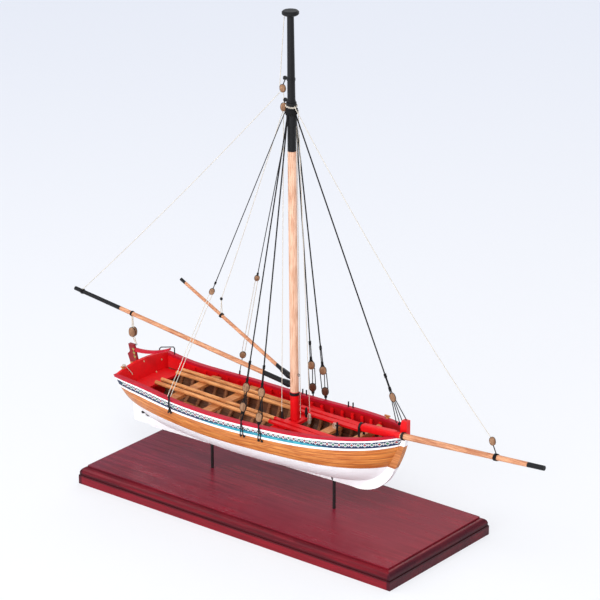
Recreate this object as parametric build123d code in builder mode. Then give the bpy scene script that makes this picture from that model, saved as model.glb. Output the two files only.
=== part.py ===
"""Display model of an eighteenth-century longboat on two pins above a moulded plinth.

Millimetres. +X runs to the bow, +Y to port, +Z up. The origin is the centre of the plinth's underside.
"""
import math
import os

from build123d import *

os.makedirs("parts", exist_ok=True)

# Plinth and support pins
plinth_length = 162.8
plinth_width = 66.4
plinth_edge_height = 3.9
plinth_ovolo_height = 3.4
plinth_step_height = 0.8
plinth_edge_quirk = 0.35
plinth_top_inset = 2.8
pin_diameter = 1.3
pin_stations = (-36.3, 28.0)
pin_plinth_depth = 4.0
pin_keel_depth = 1.2

# Backbone
backbone_siding = 2.4
keel_aft_z = 18.6
keel_fore_z = 21.15
keel_fore_x = 38.0
deadwood_top_z = 29.5
deadwood_fore_x = -56.0
deadwood_fore_rise = 2.0
apron_foot_rise = 3.9
stem_head_top_z = 56.4
stem_head_width = 2.6
post_moulding = 1.2
post_rake = 0.2576
post_face_x = -70.4
post_face_z = 23.6
post_top_z = 46.4
transom_thickness = 1.4
transom_side_z = 43.5
transom_crown = 3.8
transom_crown_half_width = 24.0

# Planking, frames and inner timbers
plank_thickness = 0.9
frame_depth = 0.9
frame_width = 1.3
frame_count = 20
frame_first_x = -64.0
frame_pitch = 5.6
widest_x = -20.0
timberhead_drop = 0.6
seat_gap = 0.05
rib_seat_gap = 0.35
thwart_end_gap = 0.5
fitting_gap = 0.15
sheer_extension = 4.0
bilge_roundness = 0.9
least_bilge_side = 0.3
cap_thickness = 1.0
cap_overhang = 0.6
cap_inner_cover = 1.5
frieze_depth = 3.4
moulding_width = 0.8
moulding_thickness = 0.45
lining_depth = 4.6
lining_thickness = 0.35
riser_depth = 1.4
riser_thickness = 0.9
riser_aft_x = -58.0
riser_fore_x = 40.0
keelson_height = 2.4
floorboard_thickness = 0.5

# Thwarts and platforms
thwart_top_z = 41.8
thwart_thickness = 1.2
thwart_width = 4.2
mast_thwart_width = 6.4
thwart_stations = (-46.0, -26.5, 25.0)
mast_thwart_x = 7.7
stern_platform_z = 40.0
stern_platform_thickness = 1.0
stern_platform_fore_x = -63.5
bow_beam_x = 43.3
bow_beam_width = 2.4
bow_beam_height = 2.2
bow_beam_top_z = 45.5

# Mast and its fittings
mast_foot_x = 7.9
mast_head_x = 5.6
mast_top_z = 213.0
mast_square_width = 3.8
mast_square_top_z = 54.1
mast_diameter = 3.5
mast_black_z = 156.0
mast_head_diameter = 2.7
truck_diameter = 6.8
truck_thickness = 1.8
truck_chamfer = 0.5
mast_band_height = 1.5
mast_band_thickness = 0.5
hounds_low_z = 166.5
hounds_high_z = 176.0
hounds_thickness = 0.45

# Spars
boom_diameter = 2.1
boom_end_diameter = 1.7
boom_aft = (-111.2, 70.3)
boom_fore = (2.0, 56.9)
gaff_diameter = 1.6
gaff_end_diameter = 1.3
gaff_aft = (-52.2, 88.4)
gaff_fore = (1.6, 61.6)
jaw_thickness = 0.9
jaw_height = 2.0
jaw_reach = 1.2
jaw_heel_width = 1.2
mast_running_gap = 0.25
bowsprit_diameter = 2.8
bowsprit_tip_diameter = 2.0
bowsprit_heel = (42.9, 49.3)
bowsprit_tip = (131.6, 55.9)
bowsprit_iron_thickness = 0.3
bowsprit_iron_width = 1.0
bowsprit_ring_x = 64.3
bowsprit_hoop_x = 43.9

# Rudder
rudder_thickness = 1.6
rudder_gap = 0.15
pintle_radius = 0.3
pintle_clearance = 0.08
pintle_levels = (23.0, 32.0, 41.5)
pintle_strap_length = 2.8
gudgeon_radius = 0.7
gudgeon_height = 1.0
gudgeon_end_gap = 0.15
gudgeon_arm_length = 1.0
iron_thickness = 0.3
tiller_thickness = 1.2
tiller_root_z = 50.6
tiller_middle = (-66.5, 52.4)
tiller_tip = (-58.7, 55.7)
tiller_root_depth = 1.5
tiller_tip_depth = 0.9

# Oars
oar_aft_x = -60.5
oar_fore_x = 36.5
oar_loom_diameter = 1.7
oar_blade_length = 34.0
oar_blade_width = 3.2
oar_blade_thickness = 0.9
oar_lanes = [
    # y at the handle, y at the blade's end
    (9.8, 10.2),
    (6.2, 6.8),
    (-3.4, -7.3),
    (-7.2, -10.5),
]

# Standing rigging
shroud_diameter = 0.6
shroud_top_z = 172.0
fall_diameter = 0.35
fall_spacing = 1.1
block_length = 3.4
block_width = 2.4
block_thickness = 1.5
chainplate_width = 0.8
chainplate_thickness = 0.35
chainplate_foot_z = 37.8
chainplate_top_rise = 1.8
shroud_rows = [
    # side, x at the rail, lower block's z, upper block's z
    (-1, -4.0, 50.7, 59.0),
    (-1, 4.8, 48.4, 58.8),
    (1, 1.4, 47.9, 58.2),
    (1, 8.3, 47.9, 57.5),
]
forestay_top_z = 171.0
forestay_block = (57.0, 64.5)
forestay_fall_feet = (62.6, 63.9)

# Small fittings
thole_diameter = 0.6
thole_height = 2.2
thole_stations = (-3.0, -1.0, 22.0, 24.5)
cleat_length = 2.6
cleat_height = 1.3
cleat_horn_depth = 0.5
cleat_thickness = 0.7
transom_cleat_y = -11.7
rail_cleat_x = 45.3

hull_stations = [
    # x, rabbet z, bilge corner y, bilge corner z, sheer y, sheer z
    (-84.0, 29.5, 12.4, 37.0, 15.0, 46.4),
    (-66.0, 23.6, 15.0, 31.6, 16.6, 43.8),
    (-46.0, 21.5, 17.9, 27.6, 18.2, 42.7),
    (-20.0, 21.3, 19.6, 25.6, 19.7, 42.6),
    (6.0, 22.0, 18.8, 25.6, 18.6, 43.3),
    (28.0, 23.0, 17.0, 27.4, 16.9, 44.6),
    (44.0, 25.4, 12.6, 31.4, 13.2, 46.4),
    (54.0, 32.2, 7.6, 38.2, 9.2, 48.1),
    (60.2, 43.0, 3.5, 45.6, 4.6, 49.0),
    (62.8, 48.2, 1.7, 48.8, 2.0, 49.5),
]
# Side view of the planking's top edge, x and z, as two arcs
sheer_points = [(-84.0, 45.8), (-56.0, 43.1), (-30.0, 42.5), (18.0, 44.1), (68.0, 50.5)]
# Side view of the paint line, x and z, as two arcs
waterline_points = [(-84.0, 34.6), (-56.0, 32.2), (-20.0, 31.4), (24.0, 32.9), (68.0, 35.6)]

# Fore face of the stem above the keel's end, x and z, as two arcs
stem_face = [(50.6, 24.0), (58.6, 33.2), (62.5, 41.6), (64.9, 50.6)]
# Inner face of the apron down to its foot, x and z, as two arcs
apron_face = [(61.4, 50.9), (58.4, 44.2), (54.0, 38.4), (47.6, 31.6)]
rudder_outline = [
    # z, breadth aft of the hinge line
    (19.0, 8.2),
    (28.0, 7.0),
    (36.0, 5.6),
    (39.0, 3.5),
    (45.4, 3.5),
    (48.2, 3.9),
    (49.6, 2.3),
    (52.8, 2.3),
]
floorboard_rows = [
    # inner and outer edge as shares of the section's length from rabbet to sheer
    (0.06, 0.13),
    (0.145, 0.215),
    (0.23, 0.30),
]

half_siding = backbone_siding / 2
rake_stretch = math.sqrt(1 + post_rake ** 2)


def post_face(z):
    """X of the sternpost's aft face at height z."""
    return post_face_x - post_rake * (z - post_face_z)


def inset_section(station, inset):
    """Rabbet point, bilge corner, sheer point and bilge radius of a section moved inwards."""
    rabbet_z, bilge_y, bilge_z, sheer_y, sheer_z = station[1:]
    floor = Vector(bilge_y - half_siding, bilge_z - rabbet_z)
    side = Vector(sheer_y - bilge_y, sheer_z - bilge_z)
    half_turn = math.radians(floor.get_angle(side) / 2)
    radius = bilge_roundness * min(floor.length, side.length) / math.tan(half_turn) - inset
    floor_unit = floor.normalized()
    side_unit = side.normalized()
    floor_normal = Vector(-floor_unit.Y, floor_unit.X)
    side_normal = Vector(-side_unit.Y, side_unit.X)
    bisector = (floor_normal + side_normal).normalized()
    corner_shift = inset / bisector.dot(floor_normal)
    corner = Vector(bilge_y, bilge_z) + bisector * corner_shift
    rabbet = corner - floor_unit * ((corner.X - half_siding) / floor_unit.X)
    sheer_rise = (sheer_z + sheer_extension - corner.Y) / side_unit.Y
    sheer = corner + side_unit * sheer_rise
    longest_tangent = bilge_roundness * (corner - rabbet).length
    fitting_radius = min(radius, longest_tangent / math.tan(half_turn))
    return (rabbet.X, rabbet.Y), (corner.X, corner.Y), (sheer.X, sheer.Y), fitting_radius


def side_wire(section):
    """Edges of one moved section from rabbet to sheer, as line, arc and line."""
    rabbet, corner, sheer, radius = section
    return FilletPolyline(rabbet, corner, sheer, radius=radius)


def station_plane(x):
    """Plane across the hull at x, its own axes along +Y and +Z."""
    return Plane(origin=(x, 0, 0), x_dir=(0, 1, 0), z_dir=(1, 0, 0))


def stations_around(inset):
    """Stations whose bilge corner stays clear of the backbone's side after the move."""
    least_y = half_siding + least_bilge_side
    return [station for station in hull_stations if inset_section(station, inset)[1][0] > least_y]


def port_body(inset):
    """Port half of the hull's filled form, inside the given inset from the planking's outer face."""
    with BuildPart() as body:
        for station in stations_around(inset):
            section = inset_section(station, inset)
            rabbet, sheer = section[0], section[2]
            with BuildSketch(station_plane(station[0])):
                with BuildLine():
                    side_wire(section)
                    Polyline(rabbet, (half_siding, sheer[1]), sheer)
                make_face()
        loft()
    return body.part


def port_shell(outer_inset, inner_inset):
    """Port half of a shell between two insets from the planking's outer face."""
    with BuildPart() as shell:
        add(port_body(outer_inset))
        add(port_body(inner_inset), mode=Mode.SUBTRACT)
    return shell.part


def hull_core(inset):
    """Solid that fills the hull inside the given inset, from rabbet to above the sheer."""
    with BuildPart() as core:
        for station in stations_around(inset):
            section = inset_section(station, inset)
            rabbet, corner, sheer, radius = section
            with BuildSketch(station_plane(station[0])):
                with BuildLine():
                    side_wire(section)
                    FilletPolyline((-rabbet[0], rabbet[1]), (-corner[0], corner[1]), (-sheer[0], sheer[1]),
                                   radius=radius)
                    Line(rabbet, (-rabbet[0], rabbet[1]))
                    Line(sheer, (-sheer[0], sheer[1]))
                make_face()
        loft()
    return core.part


def section_at(x):
    """Station row at x, drawn straight between its neighbours in the table."""
    for aft, fore in zip(hull_stations, hull_stations[1:]):
        if x <= fore[0]:
            share = (x - aft[0]) / (fore[0] - aft[0])
            return tuple(low + share * (high - low) for low, high in zip(aft, fore))
    return hull_stations[-1]


sheer_arcs = [Edge.make_three_point_arc(*sheer_points[:3]), Edge.make_three_point_arc(*sheer_points[2:])]


def sheer_z(x):
    """Height of the planking's top edge at x, on the arcs through the sheer points."""
    arc = sheer_arcs[0] if x < sheer_points[2][0] else sheer_arcs[1]
    centre = arc.arc_center
    return centre.Y - math.sqrt(arc.radius ** 2 - (x - centre.X) ** 2)


def rib_profile(x, outer_inset, inner_inset, low_z, high_z, width=frame_width):
    """Face of a rib at x between two insets and two heights, inside the hull over the rib's whole width."""
    towards_end = width / 2 if x > widest_x else -width / 2
    outer = inset_section(section_at(x + towards_end), outer_inset)
    inner = inset_section(section_at(x - towards_end), inner_inset)
    with BuildSketch() as profile:
        with BuildLine():
            side_wire(outer)
            side_wire(inner)
            Line(outer[0], inner[0])
            Line(outer[2], inner[2])
        make_face()
        with Locations((0, low_z)):
            Rectangle(plinth_width, high_z - low_z, align=(Align.CENTER, Align.MIN), mode=Mode.INTERSECT)
    return profile.sketch


def side_band(points, low, high):
    """Solid across the whole hull between a side-view curve moved by low and by high."""
    first, fifth = points[0], points[-1]
    with BuildPart() as band:
        with BuildSketch(Plane.XZ):
            with BuildLine():
                for lift in (low, high):
                    moved = [(x, z + lift) for x, z in points]
                    ThreePointArc(moved[0], moved[1], moved[2])
                    ThreePointArc(moved[2], moved[3], moved[4])
                Line((first[0], first[1] + low), (first[0], first[1] + high))
                Line((fifth[0], fifth[1] + low), (fifth[0], fifth[1] + high))
            make_face()
        extrude(amount=plinth_width / 2, both=True)
    return band.part


hull_reach = 200.0
band_reach = 60.0
slab_top_z = 70.0


def raked_slab(offset_fore, offset_aft):
    """Solid between two planes parallel to the transom, measured forward from the sternpost's aft face."""
    low = 0
    high = slab_top_z
    with BuildPart() as slab:
        with BuildSketch(Plane.XZ):
            with BuildLine():
                Polyline((post_face(low) + offset_aft, low), (post_face(high) + offset_aft, high),
                         (post_face(high) + offset_fore, high), (post_face(low) + offset_fore, low), close=True)
            make_face()
        extrude(amount=plinth_width / 2, both=True)
    return slab.part


transom_aft = post_moulding
transom_fore = post_moulding + transom_thickness
ahead_of_transom = raked_slab(transom_fore + hull_reach, transom_fore)
ahead_of_post = raked_slab(transom_aft + hull_reach, transom_aft)
transom_slab = raked_slab(transom_fore, transom_aft)

# Plinth, with an edge, an ovolo and a raised top
plinth_height = plinth_edge_height + plinth_ovolo_height + plinth_step_height
with BuildPart() as plinth:
    with BuildSketch(Plane.XY):
        Rectangle(plinth_length, plinth_width)
    extrude(amount=plinth_edge_height)
    with BuildSketch(Plane.XY.offset(plinth_edge_height)):
        Rectangle(plinth_length - 2 * plinth_edge_quirk, plinth_width - 2 * plinth_edge_quirk)
    extrude(amount=plinth_ovolo_height)
    ovolo_edges = plinth.edges().group_by(Axis.Z)[-1]
    fillet(ovolo_edges, radius=plinth_top_inset - plinth_edge_quirk)
    with BuildSketch(Plane.XY.offset(plinth_edge_height + plinth_ovolo_height)):
        Rectangle(plinth_length - 2 * plinth_top_inset, plinth_width - 2 * plinth_top_inset)
    extrude(amount=plinth_step_height)
    with BuildSketch(Plane.XY.offset(plinth_height - pin_plinth_depth)):
        with Locations(*[(x, 0) for x in pin_stations]):
            Circle(pin_diameter / 2)
    extrude(amount=pin_plinth_depth, mode=Mode.SUBTRACT)
plinth.part.label = "plinth"
export_step(plinth.part, "parts/plinth.step")


def keel_bottom(x):
    """Height of the keel's underside at x."""
    share = (x - post_face(keel_aft_z)) / (keel_fore_x - post_face(keel_aft_z))
    return keel_aft_z + share * (keel_fore_z - keel_aft_z)


with BuildPart() as support_pins:
    for x in pin_stations:
        foot_z = plinth_height - pin_plinth_depth
        with BuildSketch(Plane.XY.offset(foot_z)):
            with Locations((x, 0)):
                Circle(pin_diameter / 2)
        extrude(amount=keel_bottom(x) + pin_keel_depth - foot_z)
support_pins.part.label = "support_pins"
export_step(support_pins.part, "parts/support_pins.step")


def rabbet_z(x):
    """Height of the rabbet at x."""
    return section_at(x)[1]


# Keel with its deadwood aft, cut for the pins
post_foot = (post_face(keel_aft_z) + post_moulding, keel_aft_z)
deadwood_aft = (post_face(deadwood_top_z) + post_moulding, deadwood_top_z)
deadwood_head = (post_face(deadwood_top_z) + transom_fore, deadwood_top_z)
deadwood_fore = (deadwood_fore_x, rabbet_z(deadwood_fore_x) + deadwood_fore_rise)
keel_nose = (keel_fore_x, rabbet_z(keel_fore_x) + seat_gap)
keel_top = [(x, z + seat_gap) for x, z, *rest in hull_stations if deadwood_fore_x < x < keel_fore_x]
with BuildPart() as keel:
    with BuildSketch(Plane.XZ):
        with BuildLine():
            Polyline(post_foot, (keel_fore_x, keel_fore_z), keel_nose, *reversed(keel_top), deadwood_fore,
                     deadwood_head, deadwood_aft, close=True)
        make_face()
    extrude(amount=half_siding, both=True)
    for x in pin_stations:
        with BuildSketch(Plane.XY.offset(keel_bottom(x) + pin_keel_depth)):
            with Locations((x, 0)):
                Circle(pin_diameter / 2)
        extrude(amount=-pin_keel_depth * 2, mode=Mode.SUBTRACT)
keel.part.label = "keel"
export_step(keel.part, "parts/keel.step")

# Stem with its apron and head
with BuildPart() as stem:
    with BuildSketch(Plane.XZ):
        with BuildLine():
            stem_foot = (keel_fore_x, keel_fore_z)
            apron_foot = (keel_fore_x, keel_nose[1] + apron_foot_rise)
            stem_neck = stem_face[-1]
            ThreePointArc(stem_foot, stem_face[0], stem_face[1])
            ThreePointArc(stem_face[1], stem_face[2], stem_neck)
            Polyline(stem_neck, (stem_neck[0], stem_head_top_z), (stem_neck[0] - stem_head_width, stem_head_top_z),
                     apron_face[0])
            ThreePointArc(apron_face[0], apron_face[1], apron_face[2])
            ThreePointArc(apron_face[2], apron_face[3], apron_foot)
            Line(apron_foot, stem_foot)
        make_face()
    extrude(amount=half_siding, both=True)
stem.part.label = "stem"
export_step(stem.part, "parts/stem.step")

# Sternpost, standing on the keel line aft of the transom
with BuildPart() as sternpost:
    with BuildSketch(Plane.XZ):
        with BuildLine():
            Polyline((post_face(keel_aft_z), keel_aft_z), post_foot, (post_face(post_top_z) + post_moulding, post_top_z),
                     (post_face(post_top_z), post_top_z), close=True)
        make_face()
    extrude(amount=half_siding, both=True)
sternpost.part.label = "sternpost"
export_step(sternpost.part, "parts/sternpost.step")


def spar(start, end, start_diameter, end_diameter, y=0.0):
    """Tapered round spar between two points in side view, at a fixed Y."""
    run = Vector(end[0] - start[0], 0, end[1] - start[1])
    with BuildPart() as pole:
        with Locations(Plane(origin=(start[0], y, start[1]), x_dir=(0, 1, 0), z_dir=run)):
            Cone(start_diameter / 2, end_diameter / 2, run.length, align=(Align.CENTER, Align.CENTER, Align.MIN))
    return pole.part


# Bowsprit along the stem's starboard side, with the score that it lies in
bowsprit_y = -half_siding - bowsprit_diameter / 2 - bowsprit_iron_thickness - 2 * seat_gap
with BuildPart() as bowsprit:
    add(spar(bowsprit_heel, bowsprit_tip, bowsprit_diameter, bowsprit_tip_diameter, bowsprit_y))
bowsprit.part.label = "bowsprit"
export_step(bowsprit.part, "parts/bowsprit.step")

score_gap = 2 * fitting_gap
bowsprit_score = spar(bowsprit_heel, bowsprit_tip, bowsprit_diameter + score_gap, bowsprit_tip_diameter + score_gap,
                      bowsprit_y)


def bowsprit_radius(x):
    """Radius of the bowsprit at x."""
    share = (x - bowsprit_heel[0]) / (bowsprit_tip[0] - bowsprit_heel[0])
    return (bowsprit_diameter + share * (bowsprit_tip_diameter - bowsprit_diameter)) / 2


def bowsprit_z(x):
    """Height of the bowsprit's axis at x."""
    share = (x - bowsprit_heel[0]) / (bowsprit_tip[0] - bowsprit_heel[0])
    return bowsprit_heel[1] + share * (bowsprit_tip[1] - bowsprit_heel[1])


# Planking, split at the paint line and under the painted sheer strake
outer_body = port_body(0)
below_sheer = side_band(sheer_points, -band_reach, 0)
below_frieze = side_band(sheer_points, -band_reach, -frieze_depth)
below_waterline = side_band(waterline_points, -band_reach, 0)
with BuildPart() as port_planking:
    add(outer_body)
    add(port_body(plank_thickness), mode=Mode.SUBTRACT)
    add(ahead_of_transom, mode=Mode.INTERSECT)

with BuildPart() as side_planking:
    add(port_planking.part)
    add(below_frieze, mode=Mode.INTERSECT)
    add(below_waterline, mode=Mode.SUBTRACT)
    mirror(about=Plane.XZ)
side_planking.part.label = "side_planking"
export_step(side_planking.part, "parts/side_planking.step")

with BuildPart() as bottom_planking:
    add(port_planking.part)
    add(below_waterline, mode=Mode.INTERSECT)
    mirror(about=Plane.XZ)
bottom_planking.part.label = "bottom_planking"
export_step(bottom_planking.part, "parts/bottom_planking.step")

with BuildPart() as sheer_strake:
    add(port_planking.part)
    add(below_sheer, mode=Mode.INTERSECT)
    add(below_frieze, mode=Mode.SUBTRACT)
    mirror(about=Plane.XZ)
    add(bowsprit_score, mode=Mode.SUBTRACT)
sheer_strake.part.label = "sheer_strake"
export_step(sheer_strake.part, "parts/sheer_strake.step")

# Cap rail over the planking's top edge, ended at the transom and at the stem's sides
with BuildPart() as cap_rail:
    add(port_shell(-cap_overhang, cap_inner_cover))
    add(ahead_of_post, mode=Mode.INTERSECT)
    add(side_band(sheer_points, seat_gap, seat_gap + cap_thickness), mode=Mode.INTERSECT)
    mirror(about=Plane.XZ)
    add(bowsprit_score, mode=Mode.SUBTRACT)
cap_rail.part.label = "cap_rail"
export_step(cap_rail.part, "parts/cap_rail.step")

# White mouldings under the cap and under the frieze
with BuildPart() as mouldings:
    with BuildPart(mode=Mode.PRIVATE) as moulding_bands:
        add(side_band(sheer_points, -moulding_width, 0))
        add(side_band(sheer_points, -frieze_depth - moulding_width, -frieze_depth))
    add(port_body(-moulding_thickness))
    add(moulding_bands.part, mode=Mode.INTERSECT)
    add(ahead_of_post, mode=Mode.INTERSECT)
    add(port_body(-seat_gap), mode=Mode.SUBTRACT)
    mirror(about=Plane.XZ)
    add(bowsprit_score, mode=Mode.SUBTRACT)
mouldings.part.label = "mouldings"
export_step(mouldings.part, "parts/mouldings.step")

# Transom board with a crowned top, slotted for the deadwood and let in under the cap's ends
with BuildPart() as transom:
    add(outer_body)
    with BuildSketch(Plane.XY.offset(deadwood_top_z)):
        with Locations((post_face(deadwood_top_z), 0)):
            Rectangle(plinth_width, half_siding, align=(Align.CENTER, Align.MIN))
    extrude(amount=post_top_z - deadwood_top_z + cap_thickness)
    add(transom_slab, mode=Mode.INTERSECT)
    with BuildSketch(station_plane(post_face(post_top_z))):
        with BuildLine():
            port_shoulder = (transom_crown_half_width, transom_side_z)
            starboard_shoulder = (-transom_crown_half_width, transom_side_z)
            ThreePointArc(starboard_shoulder, (0, transom_side_z + transom_crown), port_shoulder)
            Polyline(port_shoulder, (transom_crown_half_width, 0), (-transom_crown_half_width, 0), starboard_shoulder)
        make_face()
    extrude(amount=hull_reach, both=True, mode=Mode.INTERSECT)
    mirror(about=Plane.XZ)
    add(cap_rail.part, mode=Mode.SUBTRACT)
transom.part.label = "transom"
export_step(transom.part, "parts/transom.step")

# Red lining of the bulwark between the planking and the timberheads
lining_inset = plank_thickness + seat_gap
with BuildPart() as bulwark_lining:
    add(port_shell(lining_inset, lining_inset + lining_thickness))
    add(ahead_of_transom, mode=Mode.INTERSECT)
    add(side_band(sheer_points, -lining_depth, 0), mode=Mode.INTERSECT)
    mirror(about=Plane.XZ)
    add(bowsprit_score, mode=Mode.SUBTRACT)
bulwark_lining.part.label = "bulwark_lining"
export_step(bulwark_lining.part, "parts/bulwark_lining.step")

# Frames, one pair at each spacing, from the backbone's side to under the lining
frame_inset = plank_thickness + rib_seat_gap
frame_face_inset = frame_inset + frame_depth
frame_stations = [frame_first_x + frame_pitch * index for index in range(frame_count)]
with BuildPart() as frames:
    for x in frame_stations:
        with BuildSketch(station_plane(x - frame_width / 2)):
            add(rib_profile(x, frame_inset, frame_face_inset, 0, sheer_z(x) - lining_depth - rib_seat_gap))
        extrude(amount=frame_width)
    add(ahead_of_transom, mode=Mode.INTERSECT)
    mirror(about=Plane.XZ)
frames.part.label = "frames"
export_step(frames.part, "parts/frames.step")

# Timberheads against the lining, above the frames
timberhead_inset = lining_inset + lining_thickness + rib_seat_gap
timberhead_face_inset = timberhead_inset + frame_depth
with BuildPart() as timberheads:
    for x in frame_stations:
        with BuildSketch(station_plane(x - frame_width / 2)):
            add(rib_profile(x, timberhead_inset, timberhead_face_inset, sheer_z(x) - lining_depth,
                            sheer_z(x) - timberhead_drop))
        extrude(amount=frame_width)
    add(ahead_of_transom, mode=Mode.INTERSECT)
    mirror(about=Plane.XZ)
timberheads.part.label = "timberheads"
export_step(timberheads.part, "parts/timberheads.step")

# Risers that carry the thwarts, inside the timberheads
thwart_underside = thwart_top_z - thwart_thickness
inner_inset = timberhead_face_inset + thwart_end_gap
with BuildPart() as risers:
    add(port_body(inner_inset))
    with BuildSketch(Plane.XY.offset(thwart_underside)):
        with Locations((riser_aft_x, 0)):
            Rectangle(riser_fore_x - riser_aft_x, plinth_width, align=(Align.MIN, Align.CENTER))
    extrude(amount=-riser_depth, mode=Mode.INTERSECT)
    add(port_body(inner_inset + riser_thickness), mode=Mode.SUBTRACT)
    mirror(about=Plane.XZ)
risers.part.label = "risers"
export_step(risers.part, "parts/risers.step")

# Keelson over the keel
with BuildPart() as keelson:
    with BuildSketch(Plane.XZ):
        with BuildLine():
            seat_line = [deadwood_fore, *keel_top, keel_nose]
            raised = [(x, z + keelson_height) for x, z in seat_line]
            Polyline(*seat_line, *reversed(raised), close=True)
        make_face()
    extrude(amount=half_siding, both=True)
keelson.part.label = "keelson"
export_step(keelson.part, "parts/keelson.step")


def floorboard_section(station, inner_share, outer_share):
    """Four corners of a floorboard that lies on the frames' inner faces at a station."""
    with BuildLine() as face:
        side_wire(inset_section(station, frame_face_inset + seat_gap))
    inner = face.wires()[0] @ inner_share
    outer = face.wires()[0] @ outer_share
    along = (outer - inner).normalized()
    up = Vector(-along.Y, along.X) * floorboard_thickness
    return [(corner.X, corner.Y) for corner in (inner, outer, outer + up, inner + up)]


# Footwaling in strakes over the frames
board_stations = [section_at(riser_aft_x), *[row for row in hull_stations if riser_aft_x < row[0] < riser_fore_x],
                  section_at(riser_fore_x)]
with BuildPart() as floorboards:
    for inner_share, outer_share in floorboard_rows:
        with BuildPart(mode=Mode.PRIVATE) as board:
            for station in board_stations:
                with BuildSketch(station_plane(station[0])):
                    Polygon(*floorboard_section(station, inner_share, outer_share), align=None)
            loft(ruled=True)
        add(board.part)
    mirror(about=Plane.XZ)
floorboards.part.label = "floorboards"
export_step(floorboards.part, "parts/floorboards.step")

# Thwarts on the risers
inner_core = hull_core(inner_inset)
with BuildPart() as thwarts:
    with BuildSketch(Plane.XY.offset(thwart_underside)):
        with Locations(*[(x, 0) for x in thwart_stations]):
            Rectangle(thwart_width, plinth_width)
    extrude(amount=thwart_thickness)
    add(inner_core, mode=Mode.INTERSECT)
thwarts.part.label = "thwarts"
export_step(thwarts.part, "parts/thwarts.step")

# Mast line, raked a little aft
mast_foot_z = rabbet_z(mast_foot_x) + keelson_height + fitting_gap
mast_run = Vector(mast_head_x - mast_foot_x, 0, mast_top_z - mast_foot_z)
mast_axis = Plane(origin=(mast_foot_x, 0, mast_foot_z), x_dir=(mast_run.Z, 0, -mast_run.X), z_dir=mast_run)


def along_mast(z):
    """Distance from the mast's foot to height z."""
    return mast_run.length * (z - mast_foot_z) / mast_run.Z


def mast_x(z):
    """X of the mast's axis at height z."""
    return mast_foot_x + mast_run.X * (z - mast_foot_z) / mast_run.Z


with BuildPart() as mast_thwart:
    with BuildSketch(Plane.XY.offset(thwart_underside)):
        with Locations((mast_thwart_x, 0)):
            Rectangle(mast_thwart_width, plinth_width)
            Rectangle(mast_square_width + 2 * seat_gap, mast_square_width + 2 * seat_gap, mode=Mode.SUBTRACT)
    extrude(amount=thwart_thickness)
    add(inner_core, mode=Mode.INTERSECT)
mast_thwart.part.label = "mast_thwart"
export_step(mast_thwart.part, "parts/mast_thwart.step")

with BuildPart() as mast_heel:
    with BuildSketch(mast_axis):
        Rectangle(mast_square_width, mast_square_width)
    extrude(amount=along_mast(mast_square_top_z))
mast_heel.part.label = "mast_heel"
export_step(mast_heel.part, "parts/mast_heel.step")

truck_underside = mast_top_z - truck_thickness
black_length = along_mast(truck_underside) - along_mast(mast_black_z)
with BuildPart() as mast:
    with BuildSketch(mast_axis.offset(along_mast(mast_square_top_z))):
        Circle(mast_diameter / 2)
    extrude(amount=along_mast(mast_black_z) - along_mast(mast_square_top_z))
    with Locations(mast_axis.offset(along_mast(mast_black_z))):
        Cone(mast_diameter / 2, mast_head_diameter / 2, black_length, align=(Align.CENTER, Align.CENTER, Align.MIN))
mast.part.label = "mast"
export_step(mast.part, "parts/mast.step")

with BuildPart() as mast_truck:
    with BuildSketch(mast_axis.offset(along_mast(truck_underside))):
        Circle(truck_diameter / 2)
    extrude(amount=truck_thickness)
    chamfer(mast_truck.edges().filter_by(GeomType.CIRCLE), length=truck_chamfer)
mast_truck.part.label = "mast_truck"
export_step(mast_truck.part, "parts/mast_truck.step")

with BuildPart() as mast_band:
    with BuildSketch(mast_axis.offset(along_mast(mast_square_top_z - mast_band_height))):
        Rectangle(mast_square_width + 2 * mast_band_thickness, mast_square_width + 2 * mast_band_thickness)
        Rectangle(mast_square_width, mast_square_width, mode=Mode.SUBTRACT)
    extrude(amount=mast_band_height)
mast_band.part.label = "mast_band"
export_step(mast_band.part, "parts/mast_band.step")


def mast_radius(z):
    """Radius of the mast's black head at height z."""
    share = (z - mast_black_z) / (truck_underside - mast_black_z)
    return (mast_diameter + share * (mast_head_diameter - mast_diameter)) / 2


# Seizings round the mast where the shrouds and the stay are looped
with BuildPart() as mast_hounds:
    with Locations(mast_axis.offset(along_mast(hounds_low_z))):
        Cone(mast_radius(hounds_low_z) + hounds_thickness, mast_radius(hounds_high_z) + hounds_thickness,
             along_mast(hounds_high_z) - along_mast(hounds_low_z), align=(Align.CENTER, Align.CENTER, Align.MIN))
    add(mast.part, mode=Mode.SUBTRACT)
mast_hounds.part.label = "mast_hounds"
export_step(mast_hounds.part, "parts/mast_hounds.step")


def jaws(end, spar_diameter):
    """Pair of jaws around the mast at a spar's fore end, joined by a heel behind the mast."""
    x, z = end
    mast_here = mast_x(z)
    inner = mast_diameter / 2 + mast_running_gap
    outer = inner + jaw_thickness
    tip = mast_here + jaw_reach
    throat = mast_here - inner - jaw_thickness
    throat_half = (outer + spar_diameter / 2) / 2
    heel_half = jaw_heel_width / 2
    with BuildPart() as pair:
        with BuildSketch(Plane.XY.offset(z - jaw_height / 2)):
            with BuildLine():
                Polyline((mast_here, inner), (tip, inner), (tip, outer), (throat, throat_half), (x, heel_half),
                         (x, -heel_half), (throat, -throat_half), (tip, -outer), (tip, -inner), (mast_here, -inner))
                ThreePointArc((mast_here, inner), (mast_here - inner, 0), (mast_here, -inner))
            make_face()
        extrude(amount=jaw_height)
    return pair.part


with BuildPart() as boom:
    add(spar(boom_aft, boom_fore, boom_end_diameter, boom_diameter))
boom.part.label = "boom"
export_step(boom.part, "parts/boom.step")

with BuildPart() as boom_jaws:
    add(jaws(boom_fore, boom_diameter))
    add(boom.part, mode=Mode.SUBTRACT)
boom_jaws.part.label = "boom_jaws"
export_step(boom_jaws.part, "parts/boom_jaws.step")

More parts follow.
